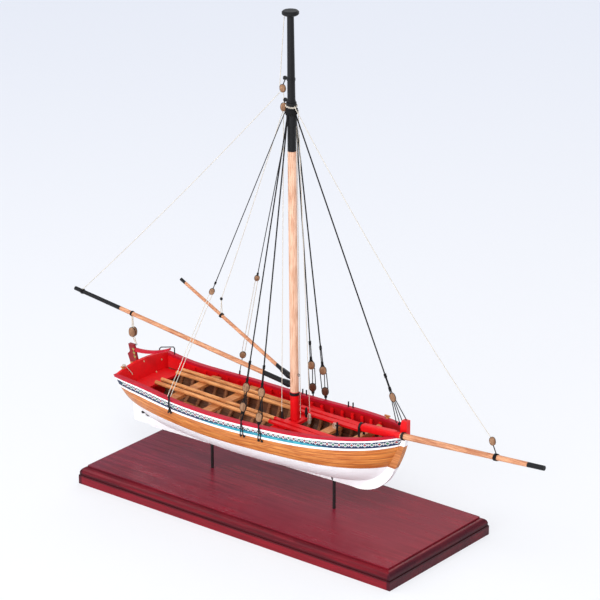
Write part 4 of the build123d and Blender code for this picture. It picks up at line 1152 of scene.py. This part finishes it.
@dataclass
class StandingRigging:
    """Shrouds, forestay, their tackles and chain wires, over the plain ones of the model."""

    rows: tuple = (ShroudRow(-1, -4.0, 19.02, 50.7, 59.0), ShroudRow(-1, 4.8, 18.65, 48.4, 58.8),
                   ShroudRow(1, 1.4, 18.79, 47.9, 58.2), ShroudRow(1, 8.3, 18.43, 47.9, 57.5))
    shroud_size: float = 0.56
    leg_size: float = 0.42
    fall_size: float = 0.38
    strop_size: float = 0.5
    knot_gap: float = 0.24
    throat_gap: float = 0.26
    block_length: float = 3.8
    block_width: float = 2.7
    block_thick: float = 1.8
    knot_rise: float = 10.5
    shaded_below: float = 54.0
    stay_head: Point = (8.4, 0.0, 171.0)
    stay_block_at: Point = (57.0, 0.0, 64.5)
    stay_block_size: tuple = (3.7, 2.2, 1.6)
    stay_knots: tuple = (9.0, 3.4)
    stay_feet: tuple = ((59.6, -0.8, 54.4), (60.6, 0.0, 54.4), (61.5, 0.8, 54.6), (63.9, 0.0, 56.6))

    def shrouds(self, shop: Workshop) -> None:
        """Makes the shrouds with their doubled legs, seizings, blocks and falls."""
        half = self.block_length / 2
        single, legs, falls, blocks, knots, throats = [], [], [], [], [], []
        for row in self.rows:
            way, aside = row.way(), row.aside()
            upper, lower = row.at(row.upper), row.at(row.lower)
            knot = upper + way * self.knot_rise
            throat = upper + way * (half + 1.2)
            single.append([row.head(), knot])
            for shift in (-1, 1):
                legs.append([knot + aside * self.knot_gap * shift, throat + aside * self.throat_gap * shift,
                             upper + way * half * 0.8 + aside * 0.7 * shift])
                legs.append([lower - way * half * 0.8 + aside * 0.6 * shift, row.top() + aside * 0.2 * shift])
                swap = -shift if row.side < 0 else shift
                reach = 0.95 if row.side < 0 else 1.25
                falls.append([lower + way * half * 0.7 + aside * reach * shift,
                              upper - way * half * 0.7 + aside * reach * swap])
            falls.append([lower + way * half * 0.8, upper - way * half * 0.8 + aside * 0.4])
            if row.side < 0:
                tail = row.top() + Vector((0.3, 0.25, 0.4))
                falls.append([upper - way * half + aside * 0.5, lower + way * 1.0 + aside * 1.5,
                              lower - way * 1.8 + aside * 1.1, tail])
            for place in (upper, lower):
                blocks.append(Block(place, way, self.block_length, self.block_width, self.block_thick, row.cheek()))
            knots += [(knot, way), (throat, way)]
            throats.append((lower - way * (half + 0.5), way))
        shop.ropes("shroud_lines", single, self.shroud_size, stands_for=("shrouds",))
        shop.ropes("shroud_legs", legs, self.leg_size)
        shop.ropes("shroud_tackles", falls, self.fall_size, stands_for=("shroud_falls",))
        shop.ropes("shroud_strops", [block.strop() for block in blocks], self.strop_size)
        # Port blocks low down take the darker block wood: painted shade.
        shaded = [block for block in blocks if block.middle[1] > 0 and block.middle[2] < self.shaded_below]
        shop.blocks("shroud_block_shells", [block for block in blocks if block not in shaded], ("shroud_blocks",))
        shop.blocks("port_lower_blocks", shaded, finish="dark_block_wood")
        shop.wind("shroud_seizings", knots, Turns=5.0, Radius=0.42, Height=1.5, Thread=0.34)
        shop.wind("strop_seizings", throats, Turns=3.0, Radius=0.5, Height=0.9, Thread=0.32)

    def forestay(self, shop: Workshop) -> None:
        """Makes the forestay, its block and the four parts of its tackle."""
        head, foot = Vector(self.stay_head), Vector(self.stay_block_at)
        way = (head - foot).normalized()
        aside = Vector((0.0, 1.0, 0.0))
        first, second = (foot + way * rise for rise in self.stay_knots)
        shop.ropes("stay_line", [[head, first]], self.shroud_size, stands_for=("forestay",))
        legs = [[first + aside * self.knot_gap * shift, second + aside * self.throat_gap * shift,
                 foot + way * 1.5 + aside * 0.55 * shift] for shift in (-1, 1)]
        falls = [[foot - way * 1.4 + Vector((0.25 * number - 0.4, 0.5 * (number - 1.5), 0.0)), Vector(end)]
                 for number, end in enumerate(self.stay_feet)]
        shop.ropes("stay_legs", legs, self.leg_size)
        shop.ropes("stay_tackle", falls, self.fall_size)
        block = Block(self.stay_block_at, way, *self.stay_block_size, (0.5, -0.9, 0.0))
        shop.blocks("stay_block_shell", [block], ("stay_block",))
        shop.ropes("stay_strop", [block.strop()], self.strop_size)
        shop.wind("stay_seizings", [(first, way), (second, way)], Turns=5.0, Radius=0.45, Height=1.6, Thread=0.36)
        shop.wind("stay_lashing", [(Vector((60.6, 0.0, 54.2)), Vector((0.0, 1.0, 0.0)))], Turns=4.0, Radius=0.45,
                  Height=1.6, Thread=0.3)

    def chain_wires(self, shop: Workshop) -> None:
        """Makes each chainplate as two wires that part down the side to their feet."""
        wires, feet = [], []
        for row in self.rows:
            top = row.top()
            for shift in (-1, 1):
                path = [top, top + Vector((0.15 * shift, 0.0, -1.0))]
                sheer = sheer_height(row.x)
                for z, spread in ((sheer - 0.4, 0.3), (sheer - 2.0, 0.45), (39.4, 0.6), (38.1, 0.8)):
                    path.append(shop.probe.outer(row.x + spread * shift, z, row.side, 0.42))
                path[2].y = row.side * max(abs(path[2].y), row.half_breadth + 0.9)
                wires.append(path)
                foot = shop.probe.outer(row.x + 0.8 * shift, 37.9, row.side, 0.1)
                feet.append(Turned(foot, (0.0, row.side, 0.0), ((0.0, 0.5), (0.45, 0.5), (0.6, 0.36))))
        shop.ropes("chain_wires", wires, 0.42, "blackened_iron", stands_for=("chainplates",))
        shop.turned("chain_feet", feet, "blackened_iron")

    def build(self, shop: Workshop) -> None:
        """Makes all the standing rigging."""
        self.shrouds(shop)
        self.forestay(shop)
        self.chain_wires(shop)


@dataclass
class RunningRigging:
    """Halyards, topping lift, backstays, mainsheet and jib line, with their blocks."""

    pale_size: float = 0.28
    black_size: float = 0.36
    upper_stub: Point = (3.2, 0.0, 185.3)
    lower_stub: Point = (3.2, 0.0, 176.4)
    topping_block: Point = (2.1, -0.5, 181.0)
    halyard_block: Point = (2.5, -0.3, 173.4)
    jib_block: Point = (107.3, -3.0, 60.5)
    jib_strop: float = 109.2
    sheet_block: Point = (-79.1, 0.0, 58.4)
    sheet_strop: float = -79.3
    sheet_foot: Point = (-77.4, 0.0, 53.35)
    peak_bead: Point = (-30.6, 0.0, 84.9)
    boom_hitch: float = -107.0
    backstay_top: Point = (4.3, 0.0, 172.6)
    starboard_knot: Point = (-23.2, -12.4, 97.2)
    starboard_block: Point = (-24.6, -13.0, 93.4)
    starboard_rail: float = -42.2
    port_rail: float = -38.0

    def backstays(self, shop: Workshop) -> None:
        """Makes the running backstays down to their hooks at the rails."""
        top = Vector(self.backstay_top)
        starboard = shop.probe.outer(self.starboard_rail, 41.9, -1, 1.0) + UP * 3.4
        port = shop.probe.outer(self.port_rail, 41.9, 1, 1.0) + UP * 2.8
        knot, block = Vector(self.starboard_knot), Vector(self.starboard_block)
        high, low = top.lerp(port, 0.63), top.lerp(port, 0.935)
        way, port_way = (block - starboard).normalized(), (top - port).normalized()
        pendants = [[top + Vector((0.0, -1.4, 0.0)), knot], [knot, block + way * 1.4],
                    [top + Vector((0.0, 1.4, 0.0)), high + port_way * 1.4], [low - port_way * 1.4, port]]
        falls = []
        for shift in (-1, 1):
            across = Vector((0.55, 0.44, 0.0)) * shift
            falls.append([block + across * 0.9 - way, starboard + across * 0.9])
            falls.append([high + across * 0.7 - port_way, low + across * 0.9 + port_way])
        shop.ropes("backstay_pendants", pendants, self.black_size)
        shop.ropes("backstay_falls", falls, self.pale_size, "pale_cord")
        blocks = [Block(block, way, 2.9, 2.0, 1.4), Block(high, port_way, 2.9, 2.0, 1.4),
                  Block(low, port_way, 3.3, 2.6, 1.8)]
        shop.blocks("backstay_blocks", blocks)
        shop.ropes("backstay_strops", [item.strop() for item in blocks], 0.4)
        shop.wind("backstay_seizings", [(knot, way), (high + port_way * 2.2, port_way), (starboard, way)], Turns=4.0,
                  Radius=0.32, Height=1.0, Thread=0.28)
        plates, hooks = [], []
        for side, end, x in ((-1, starboard, self.starboard_rail), (1, port, self.port_rail)):
            foot = shop.probe.outer(x - 0.6, 38.6, side, 0.3)
            middle = shop.probe.outer(x - 0.3, 41.8, side, 0.95)
            plates.append([end, middle, foot])
            hooks += [Turned(foot - Vector((0.0, side * 0.25, 0.0)), (0.0, side, 0.0),
                             ((0.0, 0.75), (0.4, 0.75), (0.55, 0.55)))]
            hooks += [Turned(foot + Vector((shift, -side * 0.25, -0.9)), (0.0, side, 0.0),
                             ((0.0, 0.4), (0.45, 0.4))) for shift in (-0.7, 0.7)]
        shop.ropes("backstay_plates", plates, 0.75, "blackened_iron")
        shop.turned("backstay_feet", hooks, "blackened_iron")

    def masthead_lines(self, shop: Workshop) -> None:
        """Makes the topping lift, the halyards and the jib line with their blocks at the masthead."""
        topping, halyard, jib = Vector(self.topping_block), Vector(self.halyard_block), Vector(self.jib_block)
        bead, gaff = Vector(self.peak_bead), GAFF.at(self.peak_bead[0]) + UP * 0.7
        boom_end = BOOM.at(self.boom_hitch) + UP * 0.9
        pale = [
            sagging(topping + Vector((-0.6, 0.0, -1.0)), boom_end, 1.5),
            sagging(topping + Vector((0.5, 0.0, -1.2)), (4.4, -4.4, 42.0), 0.0, 4),
            sagging((6.6, -0.6, 176.6), jib + Vector((-0.6, 0.0, 1.2)), 4.5, 24),
            sagging(halyard + Vector((-0.4, 0.0, -1.3)), bead, 1.2),
            sagging((3.4, -1.0, 211.4), topping + Vector((-1.2, -0.4, 0.6)), 0.0, 4),
            sagging((6.9, 2.2, 172.0), (8.3, 2.9, 41.6), 0.0, 4),
            sagging((7.4, 2.6, 172.4), (9.5, 7.5, 41.6), 0.0, 4),
            [bead, gaff + Vector((0.0, -0.5, 0.0))], [bead, gaff + Vector((0.0, 0.5, 0.0))],
        ]
        shop.ropes("masthead_lines", pale, self.pale_size, "pale_cord")
        blocks = [Block(topping, (-0.2, 0.0, 1.0), 3.2, 2.3, 1.6),
                  Block(halyard, (0.0, 0.0, 1.0), 3.6, 2.6, 2.0),
                  Block(jib, (-0.25, 0.0, 1.0), 3.4, 2.3, 1.6)]
        shop.blocks("masthead_blocks", blocks)
        strop_at = BOWSPRIT.at(self.jib_strop)
        ties = [block.strop() for block in blocks]
        ties += [[Vector(self.upper_stub) + UP * -0.2, topping + Vector((0.2, 0.0, 1.6))],
                 [Vector(self.lower_stub), halyard + UP * 1.8],
                 [jib + Vector((0.4, 0.0, -1.6)), strop_at + UP * 1.4]]
        shop.ropes("masthead_strops", ties, 0.42)
        shop.wind("spar_strops", [(strop_at, BOWSPRIT.way())], Turns=4.0, Radius=1.32,
                  Height=1.5, Thread=0.42)
        shop.wind("spar_hitches", [(BOOM.at(self.boom_hitch), BOOM.way()),
                                   (BOOM.at(self.sheet_strop), BOOM.way()),
                                   (GAFF.at(self.peak_bead[0]), GAFF.way())], Turns=3.0, Radius=1.02, Height=0.9,
                  Thread=0.32)
        beads = [Turned(bead - UP * 0.7, (0.0, 0.0, 1.0),
                        ((0.0, 0.2), (0.3, 0.55), (0.9, 0.6), (1.4, 0.25)))]
        shop.turned("peak_bead", beads, "blackened_iron")

    def mainsheet(self, shop: Workshop) -> None:
        """Makes the mainsheet from the boom's strop to the rudder head, with its double block."""
        block, foot, strop = Vector(self.sheet_block), Vector(self.sheet_foot), BOOM.at(self.sheet_strop)
        parts = []
        for shift in (-0.8, 0.0, 0.8):
            parts.append([block + Vector((shift, 0.0, -1.7)), foot + Vector((shift * 0.35, 0.0, 0.0))])
            parts.append([strop + Vector((shift * 0.4, 0.0, -0.9)), block + Vector((shift * 0.6, 0.0, 1.8))])
        shop.ropes("mainsheet_parts", parts, self.pale_size, "pale_cord")
        double = [Block(block + Vector((0.0, shift, 0.0)), (0.0, 0.0, 1.0), 4.2, 3.0, 1.5, (0.2, -1.0, 0.0))
                  for shift in (-0.62, 0.62)]
        shop.blocks("mainsheet_block", double)
        shop.ropes("mainsheet_strop", [item.strop() for item in double], 0.4)

    def build(self, shop: Workshop) -> None:
        """Makes all the running rigging."""
        self.backstays(shop)
        self.masthead_lines(shop)
        self.mainsheet(shop)


@dataclass
class MastFittings:
    """The round heel and its band, the spars' tongues, the masthead's irons and the belayed halyards."""

    heel_half: float = 1.82
    band_half: float = 2.05
    stub_heights: tuple = (185.3, 176.4)

    def heel(self, shop: Workshop) -> None:
        """Makes the painted heel and the black band at its top in place of the square ones."""
        low, high = (corner[2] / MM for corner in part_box("mast_heel"))
        band_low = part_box("mast_band")[0][2] / MM
        way = mast_axis(high) - mast_axis(low)
        length = high - low
        form = Turned(mast_axis(low), way,
                      ((0.0, self.heel_half), (length - 0.25, self.heel_half), (length, self.heel_half - 0.2)))
        shop.turned("round_heel", [form], "red_paint", stands_for=("mast_heel",))
        band = Turned(mast_axis(band_low), way, (
            (0.0, self.heel_half), (0.1, self.band_half), (1.1, self.band_half), (1.3, self.band_half - 0.2)))
        shop.turned("round_band", [band], "black_paint", stands_for=("mast_band",))

    def tongues(self, shop: Workshop) -> None:
        """Makes the boom's and gaff's tapered tongues that meet the mast, in place of the plain jaws."""
        for name, node, spar, x, half in (("boom_tongue", "boom_jaws", BOOM, 1.4, 1.05),
                                          ("gaff_tongue", "gaff_jaws", GAFF, 1.0, 0.9)):
            start = spar.at(x)
            end = Vector((mast_axis(start.z).x - 1.6, 0.0, spar.at(x + 4.4).z))
            length = (end - start).length
            form = Turned(start, end - start, (
                (0.0, half), (length * 0.4, half * 1.15), (length * 0.75, half * 1.25), (length, half * 0.9)), 3.5)
            shop.turned(name, [form], "black_paint", stands_for=(node,))

    def masthead(self, shop: Workshop) -> None:
        """Makes the two banded eye stubs and the eyebolt in front of the mast."""
        forms = []
        for z in self.stub_heights:
            axis = mast_axis(z)
            forms.append(Turned(axis - UP * 0.55, (0.0, 0.0, 1.0), (
                (0.0, 1.5), (0.1, 1.72), (1.0, 1.72), (1.1, 1.5))))
            forms.append(Turned(axis - Vector((1.2, 0.0, 0.0)), (-1.0, 0.0, 0.0), (
                (0.0, 0.55), (1.2, 0.55), (1.6, 0.75), (2.3, 0.75), (2.5, 0.5)), 4.0))
        shop.turned("masthead_stubs", forms, "black_paint")
        bolt = mast_axis(61.7) + Vector((2.3, 0.0, 0.0))
        shop.wind("mast_eyebolt", [(bolt, (0.0, 1.0, 0.0))], "blackened_iron", Turns=1.0,
                  Radius=0.5, Height=0.0, Thread=0.3)
        shop.wind("shroud_eyes", [(mast_axis(172.2), (0.0, 0.0, 1.0))], Turns=5.0, Radius=2.3, Height=2.4,
                  Thread=0.52)
        shop.wind("pale_lashing", [(mast_axis(174.6), (0.1, 0.0, 1.0))], "pale_cord", Turns=2.0, Radius=2.35,
                  Height=0.8, Thread=0.26)

    def belaying(self, shop: Workshop) -> None:
        """Makes the hanks of the halyards at the mast's foot and their iron pins."""
        hanks = [hank((11.1, 4.6, 43.8), 0.45, 2.0, 3, 0.9), hank((4.7, -4.7, 44.0), 0.3, 1.1, 2, 0.3)]
        shop.ropes("halyard_hanks", hanks, 0.24, "pale_cord")
        pins = [Turned((x, y, 41.7), (0.0, 0.0, 1.0), ((0.0, 0.45), (1.4, 0.4), (1.6, 0.65), (2.0, 0.6), (
            4.2, 0.4), (4.4, 0.2))) for x, y in ((9.9, 4.6), (4.9, -4.6))]
        shop.turned("belaying_pins", pins, "blackened_iron")

    def build(self, shop: Workshop) -> None:
        """Makes all the mast's fittings."""
        self.heel(shop)
        self.tongues(shop)
        self.masthead(shop)
        self.belaying(shop)


@dataclass
class SternFittings:
    """The wire horse, ringbolt, eyes and belayed line of the stern, and the eye on the rudder head."""

    horse: tuple = ((-70.3, 16.2, 45.2), (-70.3, 16.2, 47.9), (-70.6, 15.9, 48.6), (-74.4, 12.3, 48.7),
                    (-74.6, 11.6, 48.2), (-74.6, 11.2, 46.6))
    cleat_at: Point = (-74.1, -11.7, 48.4)

    def build(self, shop: Workshop) -> None:
        """Makes the stern's fittings."""
        shop.ropes("stern_horse", [[Vector(point) for point in self.horse]], 0.5, "blackened_iron")
        eyes = [((-71.2, 5.5, 40.5), (1.0, 0.0, 0.35)), ((-73.4, 0.2, 46.4), (1.0, 0.0, 0.3)),
                ((-72.8, 10.8, 44.0), (1.0, 0.0, 0.3)), ((-72.8, -8.2, 43.4), (0.0, 1.0, 0.0))]
        shop.wind("stern_eyes", eyes, "dull_brass", Turns=1.0, Radius=0.3, Height=0.0,
                  Thread=0.2)
        cleat = Vector(self.cleat_at)
        line = [cleat + Vector((0.5 * math.cos(step), 0.9 * math.sin(step), 0.06 * step - 0.6)) for step in range(12)]
        line += [cleat + Vector((0.7, 0.9, -0.8)), Vector((-73.4, -10.2, 46.6)), Vector((-72.8, -9.0, 44.9)),
                 Vector((-72.6, -8.2, 43.8))]
        shop.ropes("belayed_stern_line", [line], 0.3, "pale_cord")
        shop.wind("rudder_head_eye", [((-77.4, 0.0, 53.2), (0.0, 1.0, 0.0))], "blackened_iron", "rudder", Turns=1.0,
                  Radius=0.42, Height=0.0, Thread=0.26)


@dataclass
class BowFittings:
    """The squared length of the bowsprit inboard and the iron and line on the fore thwart."""

    casing_start: float = 44.9
    casing_end: float = 61.0
    casing_half: float = 1.44

    def build(self, shop: Workshop) -> None:
        """Makes the bow's fittings."""
        start, end = BOWSPRIT.at(self.casing_start), BOWSPRIT.at(self.casing_end)
        length = (end - start).length
        casing = Turned(start, end - start, (
            (0.0, self.casing_half), (length - 0.6, self.casing_half), (length, self.casing_half - 0.25)), 8.0, 32)
        shop.turned("squared_bowsprit", [casing], "red_paint")
        iron = [Turned((27.4, 2.6, 39.4), (0.0, 0.0, 1.0), ((0.0, 0.7), (0.5, 0.7), (0.7, 0.45), (5.4, 0.4), (
            5.6, 0.2))), Turned((26.2, 2.6, 43.4), (1.0, 0.1, 0.1), ((0.0, 0.2), (0.4, 0.35), (2.0, 0.35), (
                2.4, 0.2)))]
        shop.turned("thwart_iron", iron, "blackened_iron")
        shop.ropes("thwart_line", [hank((27.0, 2.6, 44.4), 0.45, 1.4, 3, -1.2)], 0.28, "pale_cord")


@dataclass
class PinForks:
    """The wire forks on the stand's pins that hold the keel."""

    stations: tuple = (-36.3, 28.0)
    size: float = 0.45

    def build(self, shop: Workshop) -> None:
        """Makes both forks."""
        tops = [19.0, 20.4]
        prongs = []
        for x, z in zip(self.stations, tops):
            for side in (-1, 1):
                prongs.append([Vector((x, 0.2 * side, z - 1.2)), Vector((x, 0.9 * side, z + 0.2)),
                               Vector((x, 1.5 * side, z + 1.6)), Vector((x, 1.75 * side, z + 3.0))])
        shop.ropes("pin_forks", prongs, self.size, "blackened_steel")


class Light(Enum):
    """The soft lamps of the studio: place in metres, width in metres and power in watts."""

    KEY = ((0.9, -1.1, 1.5), 0.8, 16.0)
    FILL = ((-1.4, -0.8, 0.9), 1.2, 8.0)
    BACK = ((-0.4, 1.4, 1.2), 1.0, 7.0)
    LOW = ((0.15, -1.3, 0.46), 0.8, 7.6)


@dataclass
class Studio:
    """The floor, the soft lamps, the pale surroundings and the camera."""

    target: Point = (-36.5, 58.7, 65.1)
    towards_camera: Point = (0.5815, -0.7287, 0.3619)
    distance: float = 1364.5
    focal_pixels: float = 3222.83
    picture_width: int = 600
    sensor: float = 36.0
    floor_half: float = 6.0
    floor_glow: float = 0.62
    world_colour: tuple = (0.93, 0.95, 1.0, 1.0)
    world_strength: float = 0.62

    def camera(self) -> None:
        """Places the camera at the photograph's angle."""
        back = Vector(self.towards_camera).normalized()
        right = Vector((-back.y, back.x, 0.0)).normalized()
        turn = Matrix((right, back.cross(right), back)).transposed().to_4x4()
        data = bpy.data.cameras.new("camera")
        data.sensor_width = self.sensor
        data.lens = self.focal_pixels / self.picture_width * self.sensor
        data.clip_start = 0.05
        data.clip_end = 50.0
        camera = bpy.data.objects.new("camera", data)
        camera.matrix_world = Matrix.Translation((Vector(self.target) + back * self.distance) * MM) @ turn
        bpy.context.scene.collection.objects.link(camera)
        bpy.context.scene.camera = camera

    def floor(self) -> None:
        """Lays the pale floor, which fades from white in front to faint blue far behind."""
        half = self.floor_half
        mesh = bpy.data.meshes.new("floor")
        corners = [(-half, -half, 0.0), (half, -half, 0.0), (half, half, 0.0), (-half, half, 0.0)]
        mesh.from_pydata(corners, [], [(0, 1, 2, 3)])
        floor = bpy.data.objects.new("floor", mesh)
        bpy.context.scene.collection.objects.link(floor)
        material, n, shader = new_material("floor")
        x, y, _ = n.parts(n.place())
        away = n.minus(n.times(y, 0.78), n.times(x, 0.62))
        colour = n.mix(n.step(away, -200.0, 900.0), shade(247, 248, 251), shade(229, 233, 243))
        n.fill(shader, {"Roughness": 0.9, "Specular IOR Level": 0.1, "Base Color": colour})
        glow = n.run("ShaderNodeEmission", {"Color": colour})
        path = n.add("ShaderNodeLightPath")
        seen = n.math("MAXIMUM", path.outputs["Is Camera Ray"],
                      n.math("MAXIMUM", path.outputs["Is Glossy Ray"], path.outputs["Is Transmission Ray"]))
        joined = n.run("ShaderNodeMixShader", {0: n.times(seen, self.floor_glow), 1: shader.outputs[0], 2: glow})
        output = next(node for node in material.node_tree.nodes if node.type == "OUTPUT_MATERIAL")
        n.feed(output.inputs["Surface"], joined)
        mesh.materials.append(material)

    def lamps(self) -> None:
        """Hangs the soft lamps and lights the surroundings evenly."""
        for light in Light:
            place, width, power = light.value
            data = bpy.data.lights.new(light.name.lower(), "AREA")
            data.shape = "DISK"
            data.size = width
            data.energy = power
            lamp = bpy.data.objects.new(light.name.lower(), data)
            aim = Vector(place).normalized()
            lamp.matrix_world = Matrix.Translation(Vector(place)) @ aim.to_track_quat("Z", "Y").to_matrix().to_4x4()
            bpy.context.scene.collection.objects.link(lamp)
        world = bpy.data.worlds.new("studio")
        world.use_nodes = True
        background = next(node for node in world.node_tree.nodes if node.type == "BACKGROUND")
        background.inputs["Color"].default_value = self.world_colour
        background.inputs["Strength"].default_value = self.world_strength
        bpy.context.scene.world = world
        bpy.context.scene.view_settings.view_transform = "Standard"

    def build(self) -> None:
        """Sets up the whole studio."""
        self.camera()
        self.floor()
        self.lamps()


def main() -> None:
    """Dresses the nodes, adds the rigging and sets up the studio."""
    logging.basicConfig(level=logging.INFO)
    finishes = Dressing().dress()
    finishes |= {finish.name: finish.material() for finish in (PALE_CORD, BRASS, SHADED_BLOCK_WOOD)}
    shop = Workshop(CordTree(), WindingTree(), HullProbe(), finishes)
    for part in (StandingRigging(), RunningRigging(), MastFittings(), SternFittings(), BowFittings(), PinForks()):
        part.build(shop)
    Studio().build()


if __name__ == "__main__":
    main()
